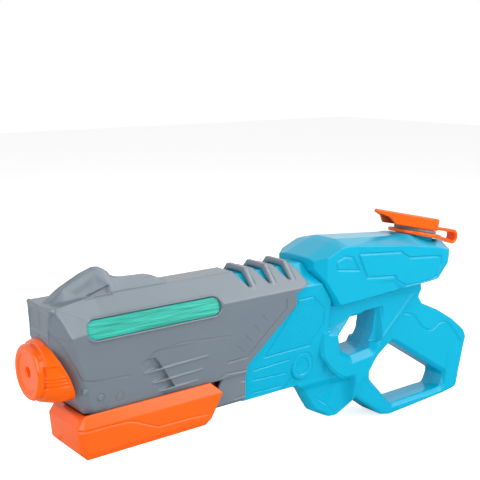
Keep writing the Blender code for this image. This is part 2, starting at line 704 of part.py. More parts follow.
def nozzle():
    """The orange nozzle: a flared knob with a recessed face and a spigot into the barrel."""
    face = MUZZLE_X - NOZZLE_REACH
    axis = (1.0, 0.0, 0.0)
    flare = [(0.0, 1.0), (NOZZLE_R * 0.62, 1.0), (NOZZLE_R * 0.70, 0.0), (NOZZLE_R * 0.88, 0.0),
             (NOZZLE_R * 0.96, 1.0), (NOZZLE_R, 3.0), (NOZZLE_BASE_R - 1.2, 11.0), (NOZZLE_BASE_R, 20.0),
             (NOZZLE_BASE_R, 34.0), (0.0, 34.0)]
    made = turned("nozzle_cap", flare, (face, 0, BARREL_Z), axis, 28)
    slope = RAKE_BACK / (RAKE_Z - SHROUD_Z)
    lean = GAP * math.hypot(1.0, slope)
    wedge = [(MUZZLE_X - GAP, TOP_Z + 5), (MUZZLE_X - GAP, RAKE_Z),
             (MUZZLE_X - lean + slope * 60.0, RAKE_Z - 60.0),
             (MUZZLE_X + 80, RAKE_Z - 60.0), (MUZZLE_X + 80, TOP_Z + 5)]
    cut(made, slab("nozzle_seat", wedge, -40.0, 40.0))
    for side in (-1, 1):
        low, high = BARREL_Z - 6.5, BARREL_Z + 6.5
        grip = [(3.5, low), (18.5, low), (13.0, high), (3.5, high)]
        floor = [[(face + back, side * (y or flare_r(back) - THUMB_FLAT), z) for back, z in grip]
                 for y in (None, 40.0)]
        hollow = loft("finger_grip_left" if side < 0 else "finger_grip_right", floor)
        for k in range(THUMB_RIBS):
            z = low + 2.0 + k * 2.2
            rings = [[(face + back, side * (flare_r(back) + y), z + rise)
                      for y, rise in ((-THUMB_FLAT - 1.0, 0.0), (-THUMB_FLAT * 0.4, 0.0),
                                      (-THUMB_FLAT * 0.4, 0.9), (-THUMB_FLAT - 1.0, 0.9))]
                     for back in (0.0, 11.0, 25.0)]
            cut(hollow, loft(f"{hollow.name}_rib_{k + 1}", rings))
        cut(made, hollow)
    stem = MUZZLE_X + RAKE_BACK + 8.0
    spigot = [(0.0, 5.0), (NOZZLE_R * 0.45, 5.0), (NOZZLE_R * 0.45, stem - face - 14.0),
              (SPIGOT_R, stem - face - 14.0), (SPIGOT_R, stem - face), (0.0, stem - face)]
    join(made, turned("nozzle_spigot", spigot, (face, 0, BARREL_Z), axis))
    cut(made, rod("nozzle_bore", JET_R * 0.7, (face - 1, 0, BARREL_Z), (stem + 1, 0, BARREL_Z), 12))
    cut(made, rod("nozzle_jet", JET_R, (face - 1, 0, BARREL_Z), (face + 7, 0, BARREL_Z), 16))
    return piece(made, (ORANGE, 0.3))


def barrel():
    """The tube from the valves to the nozzle, with its rubber washer."""
    bore = SPIGOT_R + GAP
    front = MUZZLE_X + RAKE_BACK - 6.0 + 2.0
    rear = COLUMN_X - COLUMN_R - 1.0
    washer = tube("nozzle_seal", SPIGOT_R + 2.0, bore, (front - 1.7, 0, BARREL_Z), (front, 0, BARREL_Z), 16)
    piece(washer, (BLACK, 0.7))
    front += GAP
    run = tube("outlet_tube", bore + TUBE_WALL, bore, (front, 0, BARREL_Z), (rear, 0, BARREL_Z), 16)
    piece(run, (CLEAR, 0.25))


def handle_ring(stations, inset, top):
    """A ring of the pump handle's trough: its lip, side, flank and sole, each at its own station."""
    outline = [(HANDLE_TOP_HALF - inset, top), (HANDLE_HALF - inset, HANDLE_SIDE_Z),
               (HANDLE_HALF - inset, HANDLE_Z + 4.5), (HANDLE_HALF - 2.3 - inset, HANDLE_Z + inset)]
    right = [(x, y, z) for x, (y, z) in zip(stations, outline)]
    left = [(x, -y, z) for x, y, z in reversed(right)]
    return right + left


def pump_handle():
    """The orange fore-end: a trough that slides under the shroud and carries the rod."""
    front = HANDLE_FRONT_X
    rear = block_front(HANDLE_SIDE_Z) - HANDLE_GAP
    faces = [handle_ring((front + 3.0, front + 0.5, front + 2.0, front + 3.0), 3.0, HANDLE_TOP_Z - 2.5),
             handle_ring((front + 6.0, front + 3.5, front + 5.0, front + 6.0), 0.0, HANDLE_TOP_Z),
             handle_ring((rear - 8.0, rear, rear - 9.5, rear - 13.0), 0.0, HANDLE_TOP_Z)]
    made = loft("pump_handle", faces)
    wall = HANDLE_WALL
    over = HANDLE_TOP_Z + 1.0
    inside = [handle_ring(straight(front + 8.5), wall, over),
              handle_ring((rear - 13.0, rear - 5.0, rear - 14.5, rear - 18.0), wall, over)]
    cut(made, loft("pump_trough", inside))
    half = side_half(HANDLE_TOP_Z) + SLIDE
    under = SHROUD_Z - HANDLE_UNDER
    way = [(front - 5.0, under), (rear + 5.0, under), (rear + 5.0, over), (front - 5.0, over)]
    cut(made, slab("shroud_way", way, -half, half))
    join(made, rod("rod_boss", ROD_R + 3.0, (front + 6.0, 0, PUMP_Z), (front + ROD_BOSS, 0, PUMP_Z)))
    cut(made, rod("rod_socket", ROD_R + GAP, (front + ROD_SOCKET, 0, PUMP_Z),
                  (front + ROD_BOSS + 3.0, 0, PUMP_Z)))
    cut(made, rod("cylinder_way", CYLINDER_R + SLIDE, (rear - 30.0, 0, PUMP_Z), (rear + 5.0, 0, PUMP_Z), 20))
    pin_x = front + PIN_BACK
    cut(made, rod("pin_way", PIN_R + GAP, (pin_x, -8.0, PUMP_Z), (pin_x, 8.0, PUMP_Z), 10))
    return piece(made, (ORANGE, 0.3))


def pump_inside():
    """Cylinder, gland, rod, piston and seal."""
    rear = CYLINDER_REAR_X
    front = CYLINDER_FRONT_X
    axis = (1.0, 0.0, 0.0)
    barrel_tube = tube("pump_cylinder", CYLINDER_R, CYLINDER_BORE, (front, 0, PUMP_Z), (rear, 0, PUMP_Z))
    piece(barrel_tube, (CLEAR, 0.3))
    shell = CYLINDER_R + GAP
    gland = [(ROD_R + SLIDE, -GLAND_NOSE), (ROD_R + SLIDE, -GAP), (shell, -GAP), (shell, GLAND_SKIRT),
             (GLAND_R, GLAND_SKIRT), (GLAND_R, 1.0 - GLAND_NOSE), (GLAND_R - 1.0, -GLAND_NOSE)]
    piece(turned("cylinder_gland", gland, (front, 0, PUMP_Z), axis, 16), (GREY, 0.5))

    piston_rear = rear - PISTON_REST
    piston_front = piston_rear - PISTON_LENGTH
    body = CYLINDER_BORE - GAP
    groove = body - 1.7
    hub = ROD_R + GAP
    profile = [(hub, 0.0), (body, 0.0), (body, 3.0), (groove, 3.0), (groove, 7.0), (body, 7.0),
               (body, PISTON_LENGTH), (0.0, PISTON_LENGTH), (0.0, PISTON_LENGTH - 2.0),
               (hub, PISTON_LENGTH - 2.0)]
    piece(turned("piston", profile, (piston_front, 0, PUMP_Z), axis, 16), (GREY, 0.5))
    ring = [(groove + GAP, 3.9), (groove + 0.7, 3.4), (body - 0.4, 3.4), (body + 0.1, 4.2), (body + 0.1, 5.8),
            (body - 0.4, 6.6), (groove + 0.7, 6.6), (groove + GAP, 6.1)]
    piece(turned("piston_seal", ring, (piston_front, 0, PUMP_Z), axis, 16), (BLACK, 0.6))
    tip = HANDLE_FRONT_X + ROD_SOCKET + GAP
    bar = rod("piston_rod", ROD_R, (tip, 0, PUMP_Z), (piston_rear - 2.0 - GAP, 0, PUMP_Z))
    pin_x = HANDLE_FRONT_X + PIN_BACK
    reach = ROD_R + 2.7
    cut(bar, rod("rod_pin_hole", PIN_R + GAP, (pin_x, -reach, PUMP_Z), (pin_x, reach, PUMP_Z), 10))
    piece(bar, (STEEL, 0.3, 1.0))
    piece(rod("rod_pin", PIN_R, (pin_x, -reach, PUMP_Z), (pin_x, reach, PUMP_Z), 10), (STEEL, 0.3, 1.0))


def valves():
    """The manifold behind the cylinder, its two ball valves and the elbow up to the barrel."""
    mouth = COLUMN_X + VALVE_REACH
    block = rod("valve_block", VALVE_R, (CYLINDER_REAR_X - 7.7, 0, PUMP_Z), (mouth, 0, PUMP_Z), 20)
    join(block, rod("valve_column", COLUMN_R, (COLUMN_X, 0, PUMP_Z), (COLUMN_X, 0, COLUMN_TOP_Z), 18))
    cut(block, rod("cylinder_socket", CYLINDER_R + GAP, (CYLINDER_REAR_X - 12, 0, PUMP_Z),
                   (CYLINDER_REAR_X + GAP, 0, PUMP_Z), 20))
    cut(block, rod("suction_bore", CHAMBER_R, (CYLINDER_REAR_X - 2, 0, PUMP_Z), (mouth + 4.0, 0, PUMP_Z), 16))
    seat_z = PUMP_Z + VALVE_R + 1.5
    cut(block, rod("outlet_bore", SEAT_R, (COLUMN_X, 0, PUMP_Z), (COLUMN_X, 0, seat_z + 1.0), 12))
    cut(block, rod("outlet_chamber", CHAMBER_R - 0.2, (COLUMN_X, 0, seat_z),
                   (COLUMN_X, 0, COLUMN_TOP_Z + 3), 16))
    piece(block, (GREY, 0.5))

    lift = math.sqrt(BALL_R ** 2 - SEAT_R ** 2) + GAP
    piece(ball("outlet_ball", BALL_R, (COLUMN_X, 0, seat_z + lift)), (STEEL, 0.2, 1.0))
    spring_low = seat_z + lift + math.sqrt((BALL_R + SPRING_WIRE + GAP) ** 2 - SPRING_R ** 2)
    spring_high = COLUMN_TOP_Z - 5.0 - SPRING_WIRE - GAP
    steps = SPRING_TURNS * 9
    coil = [(COLUMN_X + SPRING_R * math.cos(2 * math.pi * k / 9), SPRING_R * math.sin(2 * math.pi * k / 9),
             spring_low + (spring_high - spring_low) * k / steps) for k in range(steps + 1)]
    pitch = (spring_high - spring_low) / SPRING_TURNS
    print("outlet spring: least gap between turns", round(pitch - 2 * SPRING_WIRE, 2), "mm")
    piece(pipe("outlet_spring", coil, SPRING_WIRE, sides=1, curved=False), (STEEL, 0.3, 1.0))

    elbow = turned("outlet_elbow", [(0.0, -5.0), (CHAMBER_R - 0.5, -5.0), (CHAMBER_R - 0.5, GAP),
                                    (COLUMN_R, GAP), (COLUMN_R, 3.0), (COLUMN_R - 1.0, 4.0),
                                    (COLUMN_R - 1.0, 15.0), (0.0, 15.0)],
                   (COLUMN_X, 0, COLUMN_TOP_Z), (0, 0, 1), 14)
    join(elbow, rod("elbow_arm", SPIGOT_R, (COLUMN_X, 0, BARREL_Z), (COLUMN_X - 18.0, 0, BARREL_Z)))
    cut(elbow, rod("elbow_rise", 2.2, (COLUMN_X, 0, COLUMN_TOP_Z - 8), (COLUMN_X, 0, BARREL_Z + 2.0), 12))
    cut(elbow, rod("elbow_run", 2.2, (COLUMN_X, 0, BARREL_Z), (COLUMN_X - 22.0, 0, BARREL_Z), 12))
    piece(elbow, (GREY, 0.5))

    barb = HOSE_BORE - GAP
    fitting = [(INLET_R, -INLET_SEAT), (INLET_R, INLET_BARB), (barb, INLET_BARB), (barb, INLET_FLANGE),
               (COLUMN_R, INLET_FLANGE), (COLUMN_R, GAP), (CHAMBER_R - GAP, GAP),
               (CHAMBER_R - GAP, -INLET_SEAT)]
    piece(turned("inlet_fitting", fitting, (mouth, 0, PUMP_Z), (1, 0, 0), 16), (GREY, 0.5))
    reach = math.sqrt(BALL_R ** 2 - INLET_R ** 2) + GAP
    piece(ball("inlet_ball", BALL_R, (mouth - INLET_SEAT - reach, 0, PUMP_Z)), (STEEL, 0.2, 1.0))


def tank_underside(x):
    return TANK_Z + TANK_RISE * (x - 35.0)


def tank_front_line():
    """Two ends of the slanted front of the tank, in the side view."""
    return Vector((TANK_FRONT_X, 133.5)), Vector((35.0, TANK_Z))


def tank_ring(x, top, half_top, side_half_width, shoulder, hip, inset=0.0):
    """One ring of the tank: flat top, shoulders, upright sides and a chamfered underside."""
    floor = max(tank_underside(x), hip - 2.5) if x > 35.0 else hip - 2.5
    right = [(half_top, top), (side_half_width, shoulder), (side_half_width, hip),
             (side_half_width - 5.0, floor)]
    outline = right + [(-y, z) for y, z in reversed(right)]
    if inset:
        outline = offset(outline, -inset)
    return [(x, y, z) for y, z in outline]


def tank_rings(inset=0.0):
    """Rings of the tank from its nose to its tail."""
    half = TANK_HALF
    under = tank_underside
    stations = [(TANK_FRONT_X, 142.6, 12.0, 19.0, 141.0, 136.0), (20.5, 145.6, 11.8, half, 143.0, 126.0),
                (35.0, 151.2, 11.0, half, 148.8, under(35.0) + 2.5),
                (41.0, 153.0, 10.5, half, 149.4, under(41.0) + 2.5),
                (114.0, 147.0, 10.5, half, 141.0, under(114.0) + 2.5),
                (143.0, 140.2, 10.5, half, 134.2, under(143.0) + 3.0),
                (155.0, 137.4, 10.5, half - 1.0, 131.4, 121.0),
                (TANK_REAR_X, 135.4, 9.5, half - 6.0, 130.4, 126.5)]
    if inset:
        first, last = stations[0], stations[-1]
        stations[0] = (first[0] + inset, *first[1:])
        stations[-1] = (last[0] - inset, *last[1:])
    return [tank_ring(*station, inset=inset) for station in stations]


def neck_frame():
    """Base point and direction of the tilted filler neck."""
    tilt = math.radians(NECK_TILT)
    return Vector((NECK_X, 0.0, NECK_Z)), Vector((math.sin(tilt), 0.0, math.cos(tilt)))


def port():
    """Where the suction hose enters the tank, and which way it points."""
    high, low = tank_front_line()
    middle = high.lerp(low, 0.34)
    along = (low - high).normalized()
    inward = Vector((-along.y, along.x))
    return Vector((middle.x, 0.0, middle.y)), Vector((inward.x, 0.0, inward.y))


def water_tank():
    """The hollow blue tank with its filler neck and the keel that the frame grips."""
    made = loft("water_tank", tank_rings())
    cut(made, loft("tank_hollow", tank_rings(TANK_WALL)))
    base, up = neck_frame()
    join(made, rod("tank_neck", NECK_R, base - up * 7.0, base + up * NECK_HEIGHT, 28))
    cut(made, rod("neck_bore", NECK_R - NECK_WALL, base - up * 12.0, base + up * (NECK_HEIGHT + 3), 28))
    join(made, slab("tank_keel", keel_outline(0.0), -KEEL_HALF, KEEL_HALF))
    where, inward = port()
    cut(made, rod("tank_port", HOSE_R + GAP + GROMMET_WALL + GAP, where - inward * 8, where + inward * 8, 16))
    return piece(made, (BLUE, 0.25))


def keel_outline(grow):
    """Side view of the keel under the tank, or of the groove for it where grow is a clearance."""
    front = KEEL_FRONT_X - grow
    rear = KEEL_REAR_X + grow
    deep = KEEL_DEPTH + grow
    return [(front, tank_underside(front) - deep), (rear, tank_underside(rear) - deep),
            (rear, tank_underside(rear) + 1.0), (front, tank_underside(front) + 1.0)]


def stock_outline():
    butt = BUTT_X
    return rounded([(60.0, 34.0, 0), (66.0, 24.0, 0), (96.0, 2.4, 4.0), (106.0, 0.0, 0),
                    (butt - 27.5, 3.0, 6.0), (butt - 10.5, 4.6, 6.0), (butt - 2.2, 41.0, 4.0),
                    (butt, 48.6, 0), (butt - 3.6, 55.2, 5.0),
                    (butt - 19.0, 67.2, 8.0), (butt - 39.0, 78.6, 8.0), (141.0, 87.5, 4.0),
                    (136.5, 94.0, 2.5),
                    (140.0, 99.5, 2.5), (138.0, 108.0, 0), (94.0, 108.0, 0), (86.0, 62.0, 0)])


def thumb_hole():
    butt = BUTT_X
    return rounded([(107.0, 61.5, 5.0), (92.0, 52.0, 6.0), (83.0, 43.0, 5.0), (83.0, 35.0, 5.0),
                    (108.0, 8.6, 2.5), (butt - 31.0, 8.6, 5.0), (butt - 26.0, 20.0, 5.0)])


def trigger_hole():
    return rounded([(47.5, 66.5, 2.0), (45.5, 78.5, 2.0), (57.5, 90.5, 2.0), (88.0, 92.5, 3.0),
                    (85.0, 73.0, 3.0), (78.0, 62.0, 3.0), (57.0, 60.5, 3.0)])


# Front and lower edge of the trigger guard, shared with the grip behind it
GUARD_EDGE = [(24.0, 86.0, 0), (23.5, 68.0, 2.0), (36.0, 53.0, 3.0), (60.0, 34.0, 2.0), (74.0, 42.0, 3.0),
              (89.5, 63.0, 2.0)]


def hole_cutter(name, outline, half, rim):
    """A through-hole whose rims flare out to the faces."""
    rings = [(-half - 1.0, rim + 1.0), (-half + rim, 0.0), (half - rim, 0.0), (half + 1.0, rim + 1.0)]
    return loft(name, [[(x, y, z) for x, z in offset(outline, grow)] for y, grow in rings])


def guard_slope(name, side):
    """A cutter for the sloped top of the guard's front post, which runs up and in to the grip."""
    face, deep = GUARD_HALF, GUARD_HALF - GUARD_SLOPE
    floor = [(28.6, face, 82.5), (53.5, face, 77.7), (61.9, deep, 93.5), (41.6, deep, 88.1)]
    return loft(name, [[(x, side * (y + reach), z) for x, y, z in floor] for reach in (0.0, 20.0)])


def knob_step(name, side):
    """A cutter that sets the knob's upper front back, with a sloped shoulder to its pad."""
    low, high = Vector((35.7, 34.7)), Vector((48.6, 45.4))
    along = (high - low).normalized()
    out = Vector((-along.y, along.x))
    far = 50.0
    section = [(0.0, KNOB_HALF + 5.0), (0.0, KNOB_HALF), (KNOB_SLOPE, KNOB_HALF - KNOB_STEP),
               (far, KNOB_HALF - KNOB_STEP), (far, KNOB_HALF + 5.0)]
    rings = []
    for foot in (low - along * far, high + along * far):
        corners = [(foot + out * rise, y) for rise, y in section]
        rings.append([(point.x, side * y, point.y) for point, y in corners])
    return loft(name, rings)


def frame_half(side):
    """One half of the blue frame: front body, guard, grip and thumbhole stock."""
    name = "frame_left" if side < 0 else "frame_right"
    middle = GAP / 2
    upper = shroud_section(FRAME_STEP)
    lower = shroud_section(FRAME_STEP, FRAME_Z - FRAME_STEP)
    ring = [(middle, upper[0][1]), upper[0], upper[1], lower[2], (middle, lower[2][1])]
    made = loft(name, [[(x, side * y, z) for y, z in ring] for x in (FRAME_FRONT_X, 30.0)])
    step = [(FRAME_FRONT_X - 5, FRAME_Z - 5), (SEAM_X + GAP, FRAME_Z - 5), (SEAM_X + GAP, SEAM_Z + 1.0),
            (SEAM_X - 2, SEAM_Z + 6.5), (FRAME_FRONT_X - 5, SEAM_Z + 6.5)]
    cut(made, slab(name + "_step", step, -side, side * 40.0))

    plate = rounded(GUARD_EDGE + [(131.0, 97.0, 2.0), (133.0, 108.0, 0), (26.0, 108.0, 0)])
    grip = slab(name + "_grip", plate, -side * CROSSING, side * PLATE_HALF)
    bevel(grip, 1.2)
    stock = slab(name + "_stock", stock_outline(), -side * CROSSING, side * STOCK_HALF)
    bevel(stock, 2.4, 2)
    knob = rounded([(4.0, FRAME_Z + 2.0, 0), (11.8, 36.3, 3.0), (19.4, 24.7, 4.0), (32.3, 17.9, 5.0),
                    (41.5, 17.3, 5.0), (62.0, 25.5, 4.0), (66.0, 36.0, 2.0), (36.0, 62.0, 0),
                    (12.0, 62.0, 0)])
    lobe = slab(name + "_knob", knob, -side * CROSSING, side * KNOB_HALF)
    bevel(lobe, 5.0, 3, 50.0)
    cut(lobe, knob_step(name + "_knob_step", side))
    bow = rounded(GUARD_EDGE + [(84.0, 66.0, 0), (60.0, 70.0, 0), (46.0, 86.0, 0)])
    guard = slab(name + "_guard", bow, -side * CROSSING, side * GUARD_HALF)
    bevel(guard, 2.2)
    for tool in (grip, stock, lobe, guard):
        join(made, tool)
    cut(made, hole_cutter(name + "_trigger", trigger_hole(), GUARD_HALF, TRIGGER_RIM))
    cut(made, guard_slope(name + "_slope", side))
    thin = [(70.0, WEB_HALF), (88.0, WEB_HALF), (92.5, PLATE_HALF + 1.0), (92.5, 30.0), (70.0, 30.0)]
    cut(made, loft(name + "_web_side", [[(x, side * y, z) for x, y in thin] for z in (66.0, 94.0)]))
    cut(made, hole_cutter(name + "_thumb", thumb_hole(), STOCK_HALF, RIM))

    high, low = tank_front_line()
    slant = (low - high).normalized()
    out = Vector((slant.y, -slant.x)) * GAP
    seat = [(high.x - GAP, TOP_Z + 20), (high.x - GAP, high.y + out.y), tuple(low + out),
            (150.0, tank_underside(150.0) - GAP), (190.0, 140.0), (190.0, TOP_Z + 20)]
    cut(made, slab(name + "_seat", seat, -side, side * 40.0))
    groove = keel_outline(GAP)
    cut(made, slab(name + "_groove", groove, -side * CROSSING, side * (KEEL_HALF + GAP)))

    deep = shroud_section(FRAME_STEP + WALL)
    deep_low = shroud_section(FRAME_STEP + WALL, FRAME_Z - FRAME_STEP)
    core = [(-1.0, deep[0][1]), deep[0], deep[1], deep_low[2], (-1.0, deep_low[2][1])]
    hollow = loft(name + "_hollow", [[(x, side * y, z) for y, z in core] for x in (FRAME_FRONT_X - 4, 21.0)])
    spare = [(high.x - 6.0, TOP_Z + 20), (high.x - 6.0, high.y - 2.0), (low.x - 8.0, low.y - 6.0),
             (60.0, low.y - 6.0), (60.0, TOP_Z + 20)]
    cut(hollow, slab(name + "_web", spare, -40.0, 40.0))
    cut(made, hollow)
    where, inward = port()
    cut(made, rod(name + "_port", HOSE_R + 2.8, where - inward * 18, where + inward * 3, 16))
    flank = side_half(BADGE_Z) - FRAME_STEP
    badge = [(0.0, -3.0), (BADGE_R, -3.0), (BADGE_R, BADGE_PROUD - 0.5), (BADGE_R - 0.5, BADGE_PROUD),
             (BADGE_R * 0.62, BADGE_PROUD), (BADGE_R * 0.55, 0.0), (0.0, 0.0)]
    join(made, turned(name + "_badge", badge, (BADGE_X, side * flank, BADGE_Z), (0, side, 0), 20))
    for k, (x, z, half) in enumerate(FRAME_SCREWS):
        if k == 0:
            join(made, post(name + "_post", x, z, half, side))
        drill(made, f"{name}_screw_{k + 1}", x, z, half, side)
    everything = [(MUZZLE_X, -10.0), (BUTT_X + 10.0, -10.0), (BUTT_X + 10.0, TOP_Z + 30),
                  (MUZZLE_X, TOP_Z + 30)]
    cut(made, slab(name + "_other_side", everything, -side * 40.0, side * middle))
    return piece(made, (BLUE, 0.25))


def suction():
    """The hose from the tank to the inlet valve, its grommet and its strainer."""
    where, inward = port()
    start = COLUMN_X + VALVE_REACH + INLET_FLANGE + GAP
    end = where + inward * 10.0
    route = [(start, 0, PUMP_Z), (start + 4.0, 0, PUMP_Z), (start + 8.0, 0, PUMP_Z),
             (start + 18.0, 0, PUMP_Z + 6.0), (start + 21.0, 0, PUMP_Z + 18.0),
             (start + 25.0, 0, PUMP_Z + 38.0), tuple(where - inward * 17.0),
             tuple(where - inward * 9.0), tuple(end)]
    hose = pipe("suction_hose", route, HOSE_R, 2)
    along = Vector(route[-1]) - Vector(route[-2])
    bore = [(route[0][0] - 3.0, 0, PUMP_Z)] + route + [tuple(end + along.normalized() * 3.0)]
    cut(hose, pipe("hose_bore", bore, HOSE_BORE, 2))
    piece(hose, (CLEAR, 0.3))

    snug = HOSE_R + GAP
    lip = snug + GROMMET_WALL + 2.2
    bush = [(snug, -0.5), (snug, 4.0), (lip - 0.6, 4.0), (lip, 3.4), (lip, 2.4), (snug + GROMMET_WALL, 2.4),
            (snug + GROMMET_WALL, -0.5)]
    piece(turned("hose_grommet", bush, where, inward, 16), (BLACK, 0.6))
    cup = [(snug, 0.0), (snug, 6.0), (HOSE_BORE, 6.0), (HOSE_BORE, FILTER_LENGTH), (snug, FILTER_LENGTH),
           (snug + 1.2, FILTER_LENGTH - 1.2), (snug + 1.2, 0.0)]
    strainer = turned("suction_filter", cup, end - inward * (6.0 - GAP), inward, 12)
    for k in range(2):
        turn = Vector((0.0, 1.0, 0.0)) if k == 0 else Vector((-inward.z, 0.0, inward.x))
        middle = end + inward * 3.5
        cut(strainer, rod(f"filter_hole_{k + 1}", 0.9, middle - turn * 8.0, middle + turn * 8.0, 8))
    piece(strainer, (GREY, 0.5))


def cap():
    """Filler cap, gasket, ring and the strap that ties them together."""
    base, up = neck_frame()
    back = Vector((up.z, 0.0, -up.x))
    across = Vector((0.0, 1.0, 0.0))

    def place(a, b, c):
        return base + back * a + across * b + up * c

    ring_top = RING_LOW + RING_THICK
    ring = [(NECK_R + GAP, RING_LOW), (NECK_R + GAP, ring_top), (RING_R - 0.6, ring_top),
            (RING_R, RING_LOW + RING_THICK / 2), (RING_R - 0.6, RING_LOW)]
    piece(turned("tether_ring", ring, base, up, 24), (ORANGE, 0.35))
    low = ring_top + GAP
    gasket = [(NECK_R + GAP, low), (NECK_R + GAP, LID_LOW - GAP), (LID_R - 1.2, LID_LOW - GAP),
              (LID_R - 1.2, low)]
    piece(turned("cap_gasket", gasket, base, up, 24), (GREY, 0.6))

    outline = []
    tangent = math.acos(LID_R / BEAK)
    for k in range(21):
        angle = math.pi - tangent - (2 * math.pi - 2 * tangent) * k / 20
        outline.append((LID_R * math.cos(angle), LID_R * math.sin(angle)))
    tip = [(-BEAK, -1.5), (-BEAK, 1.5)]
    outline = outline + tip
    made = loft("filler_cap", [[place(a, b, c) for a, b in outline] for c in (LID_LOW, LID_TOP)])
    bevel(made, 0.8, 1, 50.0)
    scoop = [(-BEAK - 5.0, LID_TOP - 1.6), (-BEAK_STEP - 6.0, LID_LOW + 5.0), (-BEAK_STEP, LID_LOW),
             (-BEAK_STEP, LID_LOW - 5.0), (-BEAK - 5.0, LID_LOW - 5.0)]
    cut(made, loft("beak_scoop", [[place(a, b, c) for a, c in scoop] for b in (-30.0, 30.0)]))
    inner = offset(outline, -2.0)
    hollow = [[place(a, b, c) for a, b in inner] for c in (LID_LOW - 8.0, LID_TOP - 2.0)]
    cut(made, loft("cap_hollow", hollow))
    plug = NECK_R - NECK_WALL - 1.0
    sleeve = [(plug - 1.8, NECK_HEIGHT - 5.0), (plug - 1.8, LID_TOP - 1.0), (plug, LID_TOP - 1.0),
              (plug, NECK_HEIGHT - 3.5), (plug - 0.8, NECK_HEIGHT - 5.0)]
    join(made, turned("cap_plug", sleeve, base, up, 28))
    piece(made, (ORANGE, 0.35))

    centre = Vector((LOOP_X, 0.0, LOOP_Z))
    thick = STRAP_THICK / 2.0
    for name, turn, anchor in (("tether_upper", 1.0, place(LID_R + GAP, 0, LID_LOW + 2.0)),
                               ("tether_lower", -1.0, place(RING_R + GAP, 0, RING_LOW + RING_THICK / 2))):
        path = [(anchor, up)]
        first = math.degrees(GAP / 2.0 / LOOP_R) * turn
        for k in range(7):
            angle = math.radians(90.0 * turn + (first - 90.0 * turn) * k / 6)
            spoke = Vector((math.cos(angle), 0.0, math.sin(angle)))
            path.append((centre + spoke * LOOP_R, spoke * turn))
        rings = [[point + normal * n + across * w for n, w in ((-thick, -STRAP_HALF), (-thick, STRAP_HALF),
                                                               (thick, STRAP_HALF), (thick, -STRAP_HALF))]
                 for point, normal in path]
        piece(loft(name, rings), (ORANGE, 0.35))


def axis_of(name, place, members):
    """An empty on a joint's axis that carries the pieces which move with it."""
    made = bpy.data.objects.new(name, None)
    parts.objects.link(made)
    made.location = Vector(place) * MM
    for member in members:
        child = bpy.data.objects[member]
        child.parent = made
        child.matrix_parent_inverse = Matrix.Translation(-made.location)


for hand in (-1, 1):
    shroud(hand)
    inlay(hand)
    frame_half(hand)
nozzle()
barrel()
pump_handle()
pump_inside()
valves()
water_tank()
suction()
cap()
for number, (spot_x, spot_z) in enumerate(SHROUD_SCREWS):
    screw(f"shroud_screw_{number + 1}", spot_x, spot_z, side_half(spot_z))
for number, (spot_x, spot_z, spot_half) in enumerate(FRAME_SCREWS):
    screw(f"frame_screw_{number + 1}", spot_x, spot_z, spot_half)
axis_of("pump_axis", (HANDLE_FRONT_X, 0.0, PUMP_Z),
        ("pump_handle", "piston_rod", "piston", "piston_seal", "rod_pin"))
axis_of("cap_axis", (LOOP_X + LOOP_R + STRAP_THICK / 2.0, 0.0, LOOP_Z), ("filler_cap", "tether_upper"))
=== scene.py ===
# %% [markdown]
# # A hand-pumped water squirter
# This lesson dresses a toy that was already built as solids: the solids say where every piece is and how
# it moves, and here each one gets the surface that a moulded plastic toy really has. Everything is drawn
# in millimetres and turned to metres at the end, in the same frame as the solids: the nozzle points along
# -X, the toy's left side faces -Y and +Z is up.

# %% Load the solids as a fixed frame
import math

import bpy
import bmesh
import numpy as np
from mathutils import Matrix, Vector


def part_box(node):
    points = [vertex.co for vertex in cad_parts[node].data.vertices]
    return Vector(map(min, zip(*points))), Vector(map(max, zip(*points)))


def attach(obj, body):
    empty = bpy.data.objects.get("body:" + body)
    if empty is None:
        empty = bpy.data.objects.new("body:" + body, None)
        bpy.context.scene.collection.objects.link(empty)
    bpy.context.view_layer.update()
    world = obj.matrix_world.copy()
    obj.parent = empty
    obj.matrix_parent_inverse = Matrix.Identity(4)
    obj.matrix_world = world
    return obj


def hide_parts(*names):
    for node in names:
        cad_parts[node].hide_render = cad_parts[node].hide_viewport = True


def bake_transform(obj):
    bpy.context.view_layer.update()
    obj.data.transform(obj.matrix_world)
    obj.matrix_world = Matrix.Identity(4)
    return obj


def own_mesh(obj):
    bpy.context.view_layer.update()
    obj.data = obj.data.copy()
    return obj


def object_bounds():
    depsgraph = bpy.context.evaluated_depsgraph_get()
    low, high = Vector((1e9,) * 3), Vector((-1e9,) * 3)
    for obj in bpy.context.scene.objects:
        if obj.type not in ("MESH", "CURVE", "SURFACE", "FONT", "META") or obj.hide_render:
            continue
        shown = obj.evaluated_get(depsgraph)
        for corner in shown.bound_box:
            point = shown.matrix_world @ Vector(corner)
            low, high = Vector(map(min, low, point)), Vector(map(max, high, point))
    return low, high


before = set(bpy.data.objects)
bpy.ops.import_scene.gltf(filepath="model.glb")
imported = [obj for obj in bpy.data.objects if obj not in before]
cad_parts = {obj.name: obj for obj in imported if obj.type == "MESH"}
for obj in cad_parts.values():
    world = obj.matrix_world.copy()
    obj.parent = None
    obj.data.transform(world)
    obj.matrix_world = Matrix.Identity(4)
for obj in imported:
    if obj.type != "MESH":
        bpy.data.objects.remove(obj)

MM = 0.001
SIDES = ((-1, "left"), (1, "right"))
cad_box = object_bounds()


def linked(name, data):
    """A new object in the scene."""
    made = bpy.data.objects.new(name, data)
    bpy.context.scene.collection.objects.link(made)
    return made


# %% [markdown]
# ## The camera
# The photograph was taken from the front left, a little above the toy, with a long lens. A real lens is
# given by its focal length on a 36 mm wide film, so the numbers read like those of a product photographer.

# %% The photographer's place
CAMERA_PLACE = (-409.1, -473.5, 279.1)
CAMERA_PITCH = 78.8
CAMERA_TURN = -38.0
LENS = 66.75

